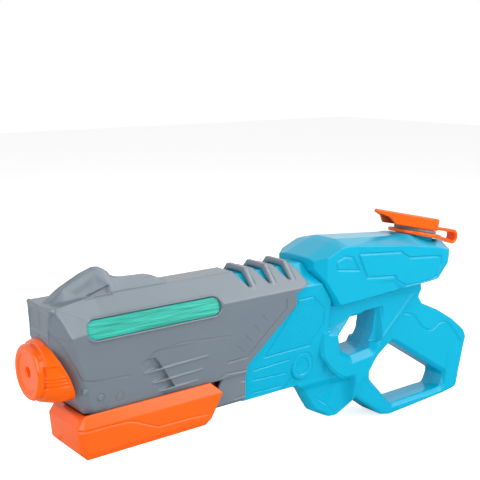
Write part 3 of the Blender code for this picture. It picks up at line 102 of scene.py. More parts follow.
camera = linked("camera", bpy.data.cameras.new("camera"))
camera.data.lens = LENS
camera.data.clip_start = 0.01
camera.location = [value * MM for value in CAMERA_PLACE]
camera.rotation_euler = (math.radians(CAMERA_PITCH), 0.0, math.radians(CAMERA_TURN))
bpy.context.scene.camera = camera
print("camera:", LENS, "mm lens,", CAMERA_PITCH, "degrees from straight down")

# %% [markdown]
# ## From a grid of points to a mesh
# Most pieces below are surfaces with two parameters, such as the place along a profile and the turn about
# an axis. Working them out as whole numpy arrays is short and fast, and one function then joins each
# point of the grid to its neighbours.

# %% Grid to mesh
def skin(name, grid, wrap_rows=False, wrap_columns=True):
    """A mesh from a grid of points in millimetres: face (i, j) joins points i, i+1 and j, j+1.

    Wrapping joins the last row or column to the first. Doubled points are merged, so a row that
    shrinks to one point closes an end.
    """
    rows, columns = grid.shape[:2]
    index = np.arange(rows * columns, dtype=np.int32).reshape(rows, columns)
    if wrap_rows:
        index = np.concatenate([index, index[:1]], axis=0)
    if wrap_columns:
        index = np.concatenate([index, index[:, :1]], axis=1)
    corners = np.stack([index[:-1, :-1], index[1:, :-1], index[1:, 1:], index[:-1, 1:]], axis=-1)
    mesh = bpy.data.meshes.new(name)
    mesh.vertices.add(rows * columns)
    mesh.vertices.foreach_set("co", (grid * MM).astype(np.float32).ravel())
    mesh.loops.add(corners.size)
    mesh.loops.foreach_set("vertex_index", corners.ravel())
    mesh.polygons.add(corners.size // 4)
    mesh.polygons.foreach_set("loop_start", np.arange(0, corners.size, 4, dtype=np.int32))
    mesh.update(calc_edges=True)
    mesh.validate()
    close_up(mesh)
    return mesh


def close_up(mesh):
    """Merge doubled points and turn every face outwards."""
    build = bmesh.new()
    build.from_mesh(mesh)
    bmesh.ops.remove_doubles(build, verts=build.verts, dist=0.000002)
    bmesh.ops.recalc_face_normals(build, faces=build.faces)
    build.to_mesh(mesh)
    build.free()


print("grids ready")

# %% [markdown]
# Two surfaces come back again and again: a profile turned about an axis, as on a lathe, and an outline
# whose corners are rounded, as a moulder rounds them so that the plastic flows. The last helpers hang a
# finished mesh on the body that it moves with, and say which solid it stands for.

# %% Turned surface, rounded corners and pieces
def unit(vector):
    """The vector's direction: v / |v|."""
    return np.array(vector, float) / np.linalg.norm(vector)


def circle(turns):
    """The angles of equal turns round a circle."""
    return np.linspace(0.0, 2.0 * np.pi, turns, endpoint=False)


def heading(path):
    """The direction of a path at each of its points."""
    along = np.gradient(path, axis=0)
    return along / np.linalg.norm(along, axis=1)[:, None]


def turned(profile, start, along, turns=72):
    """A turned surface: p(s, t) = start + along * d(s) + r(s) * (side * cos t + up * sin t)."""
    radius, distance = np.array(profile, float).T
    angle = circle(turns)
    axis = unit(along)
    side = unit(np.cross(axis, (0.0, 1.0, 0.0) if abs(axis[1]) < 0.9 else (1.0, 0.0, 0.0)))
    spoke = np.cos(angle)[:, None] * side + np.sin(angle)[:, None] * np.cross(axis, side)
    return np.array(start, float) + distance[:, None, None] * axis + radius[:, None, None] * spoke


def eased(corners, radius, steps=5, closed=True):
    """A path with rounded corners: each becomes the parabola (1-t)^2 a + 2t(1-t) corner + t^2 b.

    Points a and b lie on the two sides, a radius from the corner but never past the middle.
    """
    corners = np.array(corners, float)
    back = np.roll(corners, 1, axis=0) - corners
    ahead = np.roll(corners, -1, axis=0) - corners
    share = [np.minimum(radius / np.maximum(np.linalg.norm(way, axis=1), 1e-9), 0.48)
             for way in (back, ahead)]
    first = (corners + back * share[0][:, None])[:, None]
    last = (corners + ahead * share[1][:, None])[:, None]
    t = np.linspace(0.0, 1.0, steps)[None, :, None]
    curve = (1 - t) ** 2 * first + 2 * t * (1 - t) * corners[:, None] + t * t * last
    if not closed:
        curve[0] = corners[0]
        curve[-1] = corners[-1]
    return curve.reshape(-1, corners.shape[1])


def piece(name, mesh, material, body, slot, *nodes):
    """Put a mesh in the scene as a finished piece that rides on a body and stands for solids."""
    made = linked(name, mesh)
    mesh.materials.clear()
    mesh.materials.append(material)
    mesh.shade_smooth()
    if body:
        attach(made, body)
    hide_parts(*nodes)
    print(name, "has", len(mesh.polygons), "faces and stands for", ", ".join(nodes))
    return made


def span(node):
    """Lowest and highest corner of a solid, in millimetres."""
    return tuple(np.array(corner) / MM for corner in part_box(node))


print("helpers ready")

# %% [markdown]
# ## Colour and nodes
# Colours are written as they look on a screen, in hex, and the shader wants them linear. One function
# turns the one into the other, and one function adds a node with its settings and its links.

# %% Colour and node helpers
def linear(code):
    """A hex colour as linear light: c/12.92 below 0.04045, else ((c + 0.055)/1.055) to the 2.4."""
    value = np.array([int(code[i:i + 2], 16) for i in (0, 2, 4)]) / 255.0
    light = np.where(value <= 0.04045, value / 12.92, ((value + 0.055) / 1.055) ** 2.4)
    return (*light.tolist(), 1.0)


def feed(tree, node, inputs):
    """Set a node's inputs: each is a value, or a socket to link."""
    for key, value in inputs.items():
        if isinstance(value, bpy.types.NodeSocket):
            tree.links.new(value, node.inputs[key])
        else:
            node.inputs[key].default_value = value


def add(tree, kind, inputs=None, **settings):
    """One node: settings are its own properties, and inputs are fed to it."""
    made = tree.nodes.new(kind)
    for key, value in settings.items():
        setattr(made, key, value)
    feed(tree, made, inputs or {})
    return made


def per_metre(size):
    """The scale of a pattern whose grain is that many millimetres wide."""
    return 1.0 / (size * MM)


def start(name):
    """A new material with an empty shader, and its object coordinates."""
    made = bpy.data.materials.new(name)
    made.use_nodes = True
    tree = made.node_tree
    shader = tree.nodes["Principled BSDF"]
    place = add(tree, "ShaderNodeTexCoord").outputs["Object"]
    return made, tree, shader, place


print("white is", linear("ffffff")[:3])

# %% [markdown]
# ## Moulded plastics
# The shells of such a toy are injection moulded: molten plastic is pressed into a steel mould, and the
# surface copies the mould's own. Grey parts are usually ABS from a finely blasted mould, which looks
# satin; the blue and orange ones are softer polypropylene or polyethylene from a smoother mould, which
# look waxy and glossier. A picture of the surface could be wrapped round them, but two noises do it
# without seams: a broad one for the way the pigment flowed and a finer one for the grain. The gloss is
# even, because patches of gloss look like stains on a clean toy. A blasted mould's grain is far finer
# than a pixel, so it is drawn as coarse as a picture of this size can show, and very low.

# %% The plastics
def moulded_plastic(name, main, other, gloss, grain, height, ior, bumps=0.3, flow=45.0):
    """Pigmented plastic: main and other colours drift over flow mm, fine bumps of grain mm on top."""
    made, tree, shader, place = start(name)
    drift = add(tree, "ShaderNodeTexNoise", {"Vector": place, "Scale": per_metre(flow), "Detail": 2.0})
    tone = add(tree, "ShaderNodeMix", {0: drift.outputs["Fac"], 6: linear(main), 7: linear(other)},
               data_type='RGBA')
    speck = add(tree, "ShaderNodeTexNoise", {"Vector": place, "Scale": per_metre(grain), "Detail": 2.0})
    bump = add(tree, "ShaderNodeBump", {"Height": speck.outputs["Fac"], "Strength": bumps,
                                        "Distance": height * MM})
    feed(tree, shader, {"Base Color": tone.outputs[2], "Roughness": gloss, "IOR": ior,
                        "Normal": bump.outputs["Normal"]})
    return made


# ABS from a blasted mould: a quiet satin grey whose edges catch a soft light
grey_abs = moulded_plastic("satin_moulded_grey_abs", "717d88", "77838d", 0.27, 3.0, 0.02, 1.6, 0.1)
# Polypropylene from a polished mould: waxy, with a clear reflection at a low angle
blue_pp = moulded_plastic("glossy_moulded_blue_polypropylene", "00aace", "02b1d4",
                          0.2, 3.4, 0.02, 1.4, 0.08)
# The same plastic in orange, a shade rougher where hands hold it
orange_pp = moulded_plastic("semi_gloss_moulded_orange_polypropylene", "ff600a", "ff680f",
                            0.22, 3.2, 0.02, 1.46, 0.08)
# The nozzle is polished, so that it mirrors the lamps
nozzle_pp = moulded_plastic("polished_moulded_orange_polypropylene", "ff620c", "ff6a12",
                            0.14, 3.2, 0.02, 1.5, 0.05)
# Soft polyethylene sealing band under the cap, in blue-grey: painted shade, the blue neck as it looks in the
# lid's shadow
band_painted_shade = moulded_plastic("soft_polyethylene_band_painted_neck_shade", "6f8c98", "78949f", 0.5, 0.6, 0.01, 1.5)
# Unpigmented polyethylene of tube and hose: milky and a little see-through
milky_pe = moulded_plastic("milky_extruded_polyethylene", "c9d3d6", "d5dddf", 0.28, 0.9, 0.006, 1.51)
milky_pe.node_tree.nodes["Principled BSDF"].inputs["Transmission Weight"].default_value = 0.35
print("plastics:", [m.name for m in (grey_abs, blue_pp, orange_pp, nozzle_pp, band_painted_shade, milky_pe)])

# %% [markdown]
# The teal strip is glossy ABS whose face is drawn into fine lengthwise streaks, so it glitters in thin
# broken lines. The streaks are a noise stretched along the strip: short across it, long along it. Rubber
# takes the plastics' recipe in black, and plated steel needs only a cloudy gloss.

# %% Teal strip, rubber and steel
STREAK_WIDTH = 0.9      # drawn coarser than the real hairlines, so that it shows in the render
STREAK_LENGTH = 26.0
STREAK_DEEP = 0.15
PLATING_PATCH = 1.6     # width of the clouds in the zinc

teal_abs, tree, shader, place = start("streaked_glossy_teal_abs")
stretch = add(tree, "ShaderNodeMapping", {"Vector": place, "Scale": (per_metre(STREAK_LENGTH),
                                                                     per_metre(STREAK_WIDTH),
                                                                     per_metre(STREAK_WIDTH))})
streak = add(tree, "ShaderNodeTexNoise", {"Vector": stretch.outputs["Vector"], "Scale": 1.0, "Detail": 3.0})
tone = add(tree, "ShaderNodeValToRGB", {"Fac": streak.outputs["Fac"]})
for stop, where, code in zip(tone.color_ramp.elements, (0.36, 0.64), ("149a88", "2fbfad")):
    stop.position = where
    stop.color = linear(code)
bump = add(tree, "ShaderNodeBump", {"Height": streak.outputs["Fac"], "Strength": 0.5,
                                    "Distance": STREAK_DEEP * MM})
feed(tree, shader, {"Base Color": tone.outputs["Color"], "Roughness": 0.36, "IOR": 1.42,
                    "Normal": bump.outputs["Normal"]})

# Nitrile rubber, moulded: nearly black and matt, with a dusty bloom
nitrile = moulded_plastic("matt_moulded_nitrile_rubber", "1a1a1c", "232326", 0.68, 0.4, 0.02, 1.52)

# Zinc-plated steel, drawn and tumbled: bright, with a faint cloudiness in the plating
zinc_steel, tree, shader, place = start("zinc_plated_steel")
cloud = add(tree, "ShaderNodeTexNoise", {"Vector": place, "Scale": per_metre(PLATING_PATCH),
                                         "Detail": 4.0})
tone = add(tree, "ShaderNodeMix", {0: cloud.outputs["Fac"], 6: linear("bfc3c6"), 7: linear("d3d4d2")},
           data_type='RGBA')
sheen = add(tree, "ShaderNodeMapRange", {"Value": cloud.outputs["Fac"], "To Min": 0.2, "To Max": 0.38})
feed(tree, shader, {"Base Color": tone.outputs[2], "Roughness": sheen.outputs["Result"], "Metallic": 1.0})
print("also:", [m.name for m in (teal_abs, nitrile, zinc_steel)])

# %% [markdown]
# ## Moulded shells
# The big shells have the solids' outline, but no moulded piece has knife edges: the mould is cut with a
# round tool and the plastic shrinks. Bevelling every edge by hand is hopeless on a shape made of many
# cuts. So the solid is turned into even small squares, smoothed a little, and the shallow marks are then
# pressed in: each mark is a height worked out for every point of the skin at once, and each point moves
# along its own normal by that height.

# %% Heights of shallow marks
def away(points, path, closed=False):
    """Distance of points from a path: the least over its runs of |p - a - t (b - a)|, t within 0..1."""
    path = np.array(path, float)
    ends = np.roll(path, -1, axis=0)
    runs = list(zip(path, ends)) if closed else list(zip(path[:-1], ends[:-1]))
    best = np.full(len(points), np.inf)
    for a, b in runs:
        way = b - a
        t = np.clip((points - a) @ way / max(way @ way, 1e-12), 0.0, 1.0)
        best = np.minimum(best, np.linalg.norm(points - a - t[:, None] * way, axis=1))
    return best


def inside(points, outline):
    """Distance inside an outline, negative outside: a point is inside if a level ray crosses it oddly."""
    x, z = points.T
    odd = np.zeros(len(points), bool)
    corners = np.array(outline, float)
    for (ax, az), (bx, bz) in zip(corners, np.roll(corners, -1, axis=0)):
        if az != bz:
            odd ^= ((az > z) != (bz > z)) & (x < (bx - ax) * (z - az) / (bz - az) + ax)
    return np.where(odd, 1.0, -1.0) * away(points, outline, closed=True)


def rise(value, low, high):
    """A smooth step from 0 at low to 1 at high: 3t^2 - 2t^3."""
    t = np.clip((value - low) / (high - low), 0.0, 1.0)
    return t * t * (3.0 - 2.0 * t)


def furrow(distance, width, depth):
    """A rounded dip: -depth * (1 + cos(pi d / half)) / 2 within half its width."""
    share = np.clip(distance / (width / 2.0), 0.0, 1.0)
    return -depth * (1.0 + np.cos(np.pi * share)) / 2.0


def groove(points, path, width, depth, closed=False):
    """A furrow along a path."""
    return furrow(away(points, path, closed), width, depth)


def ring(points, centre, radius, width, depth):
    """A furrow round a circle."""
    return furrow(np.abs(np.linalg.norm(points - centre, axis=1) - radius), width, depth)


def plateau(points, outline, height, edge):
    """A raised field, or a sunk one: height inside the outline, falling to 0 over its edge."""
    return height * rise(inside(points, outline), -edge / 2.0, edge / 2.0)


print("marks ready")

# %% [markdown]
# The next helpers do the work for every shell. First the two halves of a solid are joined, because a skin
# that is smoothed across the seam stays even there. Modifiers then square it, draw it back onto the solid
# and smooth it.

# %% A moulded skin
MOST_TRIANGLES = 190_000
PARTING = 0.2           # points this near the middle plane lie on the halves' parting faces
HAIRLINE = 0.06         # from the middle plane to the face of a finished half
REACH = 400.0           # further than any piece reaches from the origin


def coordinates(mesh, what="co"):
    """Points of a mesh in millimetres, or its normals, one row each."""
    rows = np.empty(len(mesh.vertices) * 3, np.float32)
    mesh.vertices.foreach_get(what, rows)
    return rows.reshape(-1, 3).astype(float) / (MM if what == "co" else 1.0)


def move(mesh, points):
    """Put a mesh's points at places in millimetres."""
    mesh.vertices.foreach_set("co", (points * MM).astype(np.float32).ravel())
    mesh.update()


def whole(nodes, extra=()):
    """One mesh of a solid, or of two halves: points near the middle plane go from y to -2 y.

    The halves then reach past each other and fuse when the skin is squared, as extra forms do.
    """
    build = bmesh.new()
    for node in nodes:
        build.from_mesh(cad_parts[node].data)
    for mesh in extra:
        build.from_mesh(mesh)
    mesh = bpy.data.meshes.new(nodes[0] + "_whole")
    build.to_mesh(mesh)
    build.free()
    close_up(mesh)
    if len(nodes) > 1:
        points = coordinates(mesh)
        points[:, 1] *= np.where(np.abs(points[:, 1]) < PARTING, -2.0, 1.0)
        move(mesh, points)
    return mesh


def shaped(mesh, *steps, group=()):
    """The mesh that modifiers make of a mesh; each step is a kind and its settings.

    The points listed in group are the vertex group "hidden", which a step may name.
    """
    work = linked("work", mesh)
    if len(group):
        work.vertex_groups.new(name="hidden").add(group, 1.0, 'REPLACE')
    for kind, settings in steps:
        step = work.modifiers.new(kind.lower(), kind)
        for key, value in settings.items():
            setattr(step, key, value)
    graph = bpy.context.evaluated_depsgraph_get()
    made = bpy.data.meshes.new_from_object(work.evaluated_get(graph))
    bpy.data.objects.remove(work, do_unlink=True)
    return made


def moulded(nodes, step, passes, relief=None, extra=()):
    """The skin of solids in even squares, drawn onto the solids and smoothed, with a relief on top.

    Drawing the skin back makes flat faces flat again before smoothing rounds their edges. Height
    h(p, n) then moves each point to p + n * h, where p and n are all points and normals at once.
    """
    size = step * MM * 1.0
    solid = whole(nodes, extra)
    target = linked("target", solid)
    mesh = shaped(solid, ('REMESH', {"mode": 'VOXEL', "voxel_size": size}),
                  ('SMOOTH', {"factor": 0.5, "iterations": 2}),
                  ('SHRINKWRAP', {"target": target}),
                  ('SMOOTH', {"factor": 0.5, "iterations": passes}))
    bpy.data.objects.remove(target, do_unlink=True)
    if relief:
        points, normals = coordinates(mesh), coordinates(mesh, "normal")
        move(mesh, points + normals * relief(points, normals)[:, None])
    print(nodes[0], "skin has", len(mesh.polygons), "squares")
    return mesh


print("skin maker ready")

# %% [markdown]
# A finished skin is parted again on the middle plane, as the mould's two halves part it, and thinned where
# nobody looks: on the inside of the shells.

# %% Parting and thinning
def lightened(mesh):
    """The mesh with no more triangles than a piece may have; skin that faces the middle plane goes first.

    Thinning can push a point out a little, so all are held inside the box of the solids.
    """
    triangles = sum(len(face.vertices) - 2 for face in mesh.polygons)
    if triangles <= MOST_TRIANGLES:
        return mesh
    hidden = np.flatnonzero(outer(coordinates(mesh), -coordinates(mesh, "normal")) > 0.5)
    made = shaped(mesh, ('DECIMATE', {"ratio": MOST_TRIANGLES / triangles, "vertex_group": "hidden"}),
                  group=hidden.tolist())
    move(made, np.clip(coordinates(made), *(np.array(cad_box) / MM)))
    return made


def kept(mesh, low, high):
    """The part of a closed mesh inside a block, cut flat and closed."""
    build = bmesh.new()
    bmesh.ops.create_cube(build, size=1.0)
    block = bpy.data.meshes.new("block")
    build.to_mesh(block)
    build.free()
    low, high = np.array(low, float), np.array(high, float)
    move(block, low + (coordinates(block) * MM + 0.5) * (high - low))
    keep = linked("keep", block)
    made = shaped(mesh, ('BOOLEAN', {"operation": 'INTERSECT', "solver": 'MANIFOLD', "object": keep}))
    bpy.data.objects.remove(keep, do_unlink=True)
    return made


def half(mesh, side):
    """The part of a skin on one side of the middle plane."""
    near, far = sorted((side * HAIRLINE, side * REACH))
    return lightened(kept(mesh, (-REACH, near, -REACH), (REACH, far, REACH)))


def halves(name, mesh, material, slot):
    """Both halves of a shell as finished pieces."""
    for side, hand in SIDES:
        node = name + "_" + hand
        piece(node + "_shell", half(mesh, side), material, "body", slot, node)


def outer(points, normals):
    """1 on a skin that faces away from the toy's middle plane, 0 elsewhere."""
    return rise(normals[:, 1] * np.sign(points[:, 1]), 0.35, 0.6)


print("shell maker ready")

# %% [markdown]
# ## The grey shroud
# Two half shells meet on the middle plane. Their sides are marked with a set-back cheek behind the
# nozzle, hairline grooves on the block behind the pump and plain grooves along the rear seam, and the
# crest on top has a slit at its foot.

# %% Shroud halves
CHEEK = [(-200, 140), (-186.5, 119.5), (-173.5, 94.0), (-166.0, 91.5), (-172.0, 66), (-200, 66)]
CHEEK_FADE = (-181.0, -168.0)   # the cheek's step runs out between these x
BLOCK_LINES = [[(-68, 72), (-65, 73.6), (-42.8, 72.3)], [(-49.7, 64.6), (-41.9, 64.9)],
               [(-56.2, 53.3), (-39.4, 54.1)]]
SEAM_LINE = [(-63.6, 82.0), (-47.5, 82.4), (-16.0, 112.0), (-16.5, 119.0)]
SEAM_TICKS = [[(-52.0 + 6.5 * k, 87.5 + 6.2 * k), (-57.0 + 6.5 * k, 92.5 + 6.2 * k)] for k in range(4)]
CREST_FIELD = [(-178.0, 139.6), (-165.0, 146.2), (-154.0, 151.0), (-146.9, 145.8), (-146.4, 140.8),
               (-165.0, 140.4), (-174.7, 138.4)]
CREST_SLIT = [(-165.3, 140.8), (-155.7, 143.2), (-146.2, 145.8), (-146.0, 140.9), (-155.7, 141.0)]
INLAY_TICKS = [[(-174.0, 21.0, 130.4), (-167.0, 21.0, 130.7)],
               [(-163.0, 21.0, 131.6), (-142.0, 21.0, 131.2)]]
STUDS = [((-171.1, 86.0), 2.0), ((-160.4, 79.8), 2.5), ((-147.2, 77.4), 2.8)]
LEDGES = [[(-130.3, 89.1), (-81.6, 90.8)], [(-123.0, 80.9), (-85.0, 82.0)], [(-117.3, 73.9), (-88.5, 74.7)]]
LOUVRE_WALL = [(-122.5, 98.2), (-106.5, 75.2)]
LOUVRE_LINE = [(-133.4, 95.0), (-122.8, 102.3), (-103.0, 104.6), (-63.2, 101.2)]
CHEEK_LINE = [(-186.5, 119.5), (-173.5, 94.0), (-166.0, 91.8), (-141.0, 90.2)]
VISOR_LIP = [(-190.4, 0.0, 140.4), (-190.0, 13.8, 139.2), (-188.0, 16.5, 137.0), (-185.3, 20.5, 131.3),
             (-182.1, 24.5, 122.6)]
FRONT_FIELD = [(-11.5, 123.0), (11.5, 123.0), (11.5, 135.5), (-11.5, 135.5)]
POCKET_DEEP = 1.9
POCKET_RUN = 11.0               # a louvre sinks over this length up to its back wall
# Paths with their width and depth; a depth below zero makes a bead
SIDE_GROOVES = [*((line, 1.6, 0.7) for line in BLOCK_LINES), (SEAM_LINE, 1.7, 0.8), (LOUVRE_LINE, 1.8, 0.35),
                *((line, 1.4, 0.5) for line in SEAM_TICKS), *((line, 1.8, -0.6) for line in LEDGES),
                (CHEEK_LINE, 1.9, 0.5)]
FOLDED_GROOVES = [*((line, 1.2, 0.4) for line in INLAY_TICKS), (VISOR_LIP, 3.8, -1.3)]


def pockets(flat):
    """Extra depth of the louvres: it grows up to their slanted back wall, and spares the ledges."""
    (top_x, top_z), (foot_x, foot_z) = LOUVRE_WALL
    wall = top_x + (foot_x - top_x) * (top_z - flat[:, 1]) / (top_z - foot_z)
    ahead = wall - flat[:, 0]
    within = rise(flat[:, 1], foot_z - 1.0, foot_z) * (1.0 - rise(flat[:, 1], top_z - 1.5, top_z))
    clear = rise(np.min([away(flat, line) for line in LEDGES], axis=0), 0.5, 1.3)
    return -POCKET_DEEP * np.clip(1.0 - ahead / POCKET_RUN, 0.0, 1.0) * (ahead > 0) * within * clear


def shroud_marks(points, normals):
    """Height of the shroud's marks: those of its sides on outward skin, the rest where they lie."""
    flat = points[:, [0, 2]]
    folded = np.abs(points) * (0, 1, 0) + points * (1, 0, 1)
    height = plateau(flat, CHEEK, -0.8, 0.9) * (1.0 - rise(flat[:, 0], *CHEEK_FADE))
    height += sum(groove(flat, *line) for line in SIDE_GROOVES)
    height += sum(ring(flat, centre, radius, 1.3, 0.6) for centre, radius in STUDS)
    height += plateau(flat, CREST_FIELD, -0.3, 5.0) + plateau(flat, CREST_SLIT, -1.7, 0.9)
    height *= outer(points, normals)
    height += pockets(flat) * (outer(points, normals) - outer(points, -normals))
    height += sum(groove(folded, *line) for line in FOLDED_GROOVES)
    return height + plateau(points[:, [1, 2]], FRONT_FIELD, -0.9, 1.0) * rise(-normals[:, 0], 0.5, 0.8)


shroud = moulded(("shroud_left", "shroud_right"), 0.56, 4, shroud_marks)
halves("shroud", shroud, grey_abs, "grey_plastic")

# %% [markdown]
# ## The teal strips
# Each strip is a bar with round ends, a little crowned. One parameter runs round the bar's outline, the
# other from its spine out to the edge, over the edge and back underneath, so the whole strip is one grid.

# %% Inlay strips
INLAY_TILT = math.radians(20.0)
INLAY_HEIGHT = 12.0
INLAY_DEPTH = 1.6
INLAY_FACE = 0.4
INLAY_CROWN = 0.35
STREAK_PITCH = 0.95
STREAK_HIGH = 0.12


def strip(node, side):
    """p(s, t) = middle + along a + upward b + outward c: t moves (a, b) from spine to outline.

    The outline is two half circles joined by straight runs, and c falls from a crown to the edge.
    """
    low, high = span(node)
    length = high[0] - low[0]
    radius = INLAY_HEIGHT / 2.0
    run = length / 2.0 - radius
    arc = np.linspace(-0.5 * np.pi, 0.5 * np.pi, 25)
    straight = np.linspace(-run, run, 181)[1:-1]
    spine = np.concatenate([np.full(25, run), -straight, np.full(25, -run), straight])
    rim_a = np.concatenate([np.cos(arc), 0 * straight, -np.cos(arc), 0 * straight])
    rim_b = np.concatenate([np.sin(arc), 0 * straight + 1, -np.sin(arc), 0 * straight - 1])
    top = np.linspace(0.0, 1.0, 42)[:-2]
    share = np.concatenate([top, [0.97, 0.99, 1.0, 1.0, 0.98, 0.0]])[:, None]
    face = INLAY_FACE - INLAY_CROWN * top ** 4
    edge = INLAY_FACE - INLAY_CROWN - np.array([0.05, 0.15, 0.4, INLAY_DEPTH - 0.5, INLAY_DEPTH - 0.35,
                                                INLAY_DEPTH - 0.35])
    depth = np.concatenate([face, edge])[:, None]
    a = spine + share * radius * rim_a
    b = share * radius * rim_b
    wave = np.sin(2 * np.pi * b / STREAK_PITCH + 1.3 * np.sin(a / 7.0) + 0.8 * np.sin(a / 2.9 + b))
    swell = 0.6 + 0.4 * np.sin(a / 5.3 + 2.1 * b)
    depth = depth - STREAK_HIGH * (1.0 + wave) * swell * (1.0 - rise(share, 0.9, 0.97))
    outward = np.array((0.0, side * math.cos(INLAY_TILT), math.sin(INLAY_TILT)))
    upward = np.array((0.0, -side * math.sin(INLAY_TILT), math.cos(INLAY_TILT)))
    bed = (low + high) / 2.0 + outward * (INLAY_DEPTH - 0.7) / 2.0 - outward * INLAY_FACE
    return bed + a[..., None] * (1.0, 0.0, 0.0) + b[..., None] * upward + depth[..., None] * outward


for side, hand in SIDES:
    mesh = skin("strip_" + hand, strip("inlay_" + hand, side))
    piece("strip_" + hand, mesh, teal_abs, "body", "teal_plastic", "inlay_" + hand)

# %% [markdown]
# ## The nozzle
# The nozzle is a flared knob whose foot follows the raked face of the shroud, so it is not simply turned:
# the flare stops where it meets that face, sooner at the top than at the bottom. The stop is worked out
# first for every angle, and the rows of the flare are then shared out between the rim and the stop.

# %% Nozzle
NOZZLE_FACE = -200.0
BARREL_Z = 99.5
STEP_R = 17.3           # the narrower ring ahead of the rim
RIM_R = 18.5
FOOT_R = 22.0
DISC_R = 11.6
JET_R = 3.2
BORE_R = 1.6
SPIGOT_END = 38.0
SPIGOT = [(8.3, 24.0), (4.2, 24.0), (4.2, SPIGOT_END)]
SEAT_TOP_X = -191.3
SEAT_TURN_Z = 118.0
SEAT_SLOPE = 21.0 / 48.0
GRIP_HALF = 6.5
GRIP_DEEP = 1.3
GRIP_RIB = 0.9
GRIP_RIBS = (94.9, 97.1, 99.3)


def seat(z):
    """Where the shroud's front face is at a height: upright above the turn, raked below it."""
    return SEAT_TOP_X + SEAT_SLOPE * np.maximum(SEAT_TURN_Z - z, 0.0)


def flare(x):
    """Radius of the nozzle a distance behind its face: a step, then a curve out to the foot."""
    step = STEP_R + (RIM_R - STEP_R) * rise(x, 4.6, 5.6)
    return step + (FOOT_R - RIM_R) * np.sin(0.5 * np.pi * np.clip((x - 5.0) / 16.0, 0.0, 1.0))


def nozzle_grid(turns=288):
    """p(s, t): s runs from the jet over disc, rim, flare and foot to the spigot, t about the barrel."""
    angle = circle(turns)
    tall = np.sin(angle)
    stop = np.full(turns, 12.0)
    for _ in range(30):
        stop = seat(BARREL_Z + flare(stop) * tall) - NOZZLE_FACE
    front = eased([(BORE_R, SPIGOT_END), (BORE_R, 5.0), (JET_R - 0.5, 4.0), (JET_R, 1.1), (DISC_R, 1.1),
                   (DISC_R + 1.2, 0.0), (16.0, 0.0), (STEP_R, 1.6), (STEP_R, 3.0)], 1.1, 7, closed=False)
    radius, back = [np.repeat(column[:, None], turns, axis=1) for column in front.T]
    share = np.linspace(0.0, 1.0, 70)[:, None]
    side_back = 3.0 + share * (stop - 3.0)
    inward = np.linspace(0.0, 1.0, 12)[1:, None]
    foot_r = flare(stop) + inward * (SPIGOT[0][0] - flare(stop))
    foot_back = seat(BARREL_Z + foot_r * tall) - NOZZLE_FACE
    rear = eased([*SPIGOT, (BORE_R, SPIGOT_END)], 0.4, 4, closed=False)
    rear_r, rear_back = [np.repeat(column[:, None], turns, axis=1) for column in rear.T]
    radius = np.concatenate([radius, flare(side_back), foot_r, rear_r])
    back = np.concatenate([back, side_back, foot_back, rear_back])
    x, y, z = NOZZLE_FACE + back, radius * np.cos(angle), BARREL_Z + radius * tall
    lean = 18.5 - 5.5 * (z - BARREL_Z + GRIP_HALF) / (2 * GRIP_HALF)
    window = rise(GRIP_HALF - np.abs(z - BARREL_Z), -0.4, 0.4) * rise(back, 3.2, 4.0)
    window = window * rise(lean - back, -0.4, 0.4)
    rib = sum(np.exp(-((z - low) / 0.55) ** 2) for low in GRIP_RIBS)
    y = y - np.sign(y) * window * (np.abs(y) > RIM_R - 3.0) * (GRIP_DEEP - GRIP_RIB * rib)
    return np.stack([x, y, z], axis=-1)


piece("nozzle_knob", skin("nozzle_knob", nozzle_grid()), nozzle_pp, "body", "orange_plastic", "nozzle_cap")

# %% [markdown]
# ## The pump handle
# A trough of thick orange plastic with broad chamfers, moulded in one piece. Its side carries one kinked
# groove, and under it the mark where the plastic entered the mould; its front has the stub of a sprue.

# %% Pump handle
HANDLE_LINE = [(-181.0, 62.6), (-144.7, 61.9), (-139.0, 60.4), (-122.2, 52.6), (-98.2, 52.3), (-83.4, 51.3)]
GATE_MARK = (-139.7, 48.4)
GATE_HIGH = 0.3
FRONT_STUB = (7.0, 50.2)     # y and z of the cut-off sprue on the front
STUB_HIGH = 1.3
STUB_BEFORE = -170.0         # the front face is all there is before this x


def handle_marks(points, normals):
    """Height of the kinked groove and the gate mark on the sides, and of the stub on the front."""
    flat = points[:, [0, 2]]
    gate = np.linalg.norm(flat - GATE_MARK, axis=1)
    height = groove(flat, HANDLE_LINE, 1.8, 0.8) + GATE_HIGH * (1.0 - rise(gate, 0.5, 1.0))
    stub = np.linalg.norm(points[:, 1:] - FRONT_STUB, axis=1)
    front = rise(-normals[:, 0], 0.8, 0.95) * (points[:, 0] < STUB_BEFORE)
    return height * outer(points, normals) + STUB_HIGH * (1.0 - rise(stub, 0.8, 1.8)) * front


piece("pump_grip", lightened(moulded(("pump_handle",), 0.5, 4, handle_marks)), orange_pp, "pump",
      "orange_plastic", "pump_handle")

# %% [markdown]
# ## The blue frame
# Front body, trigger guard, grip and stock are one moulding in two halves. The front body carries a field
# of fine dots inside a many-sided groove, the grip a sunk triangle and the stock one winding groove. The
# left solid lacks the knob under the guard that the right one has, so the right knob is turned over to
# the left before the halves are joined, and both are made slimmer than the body above.

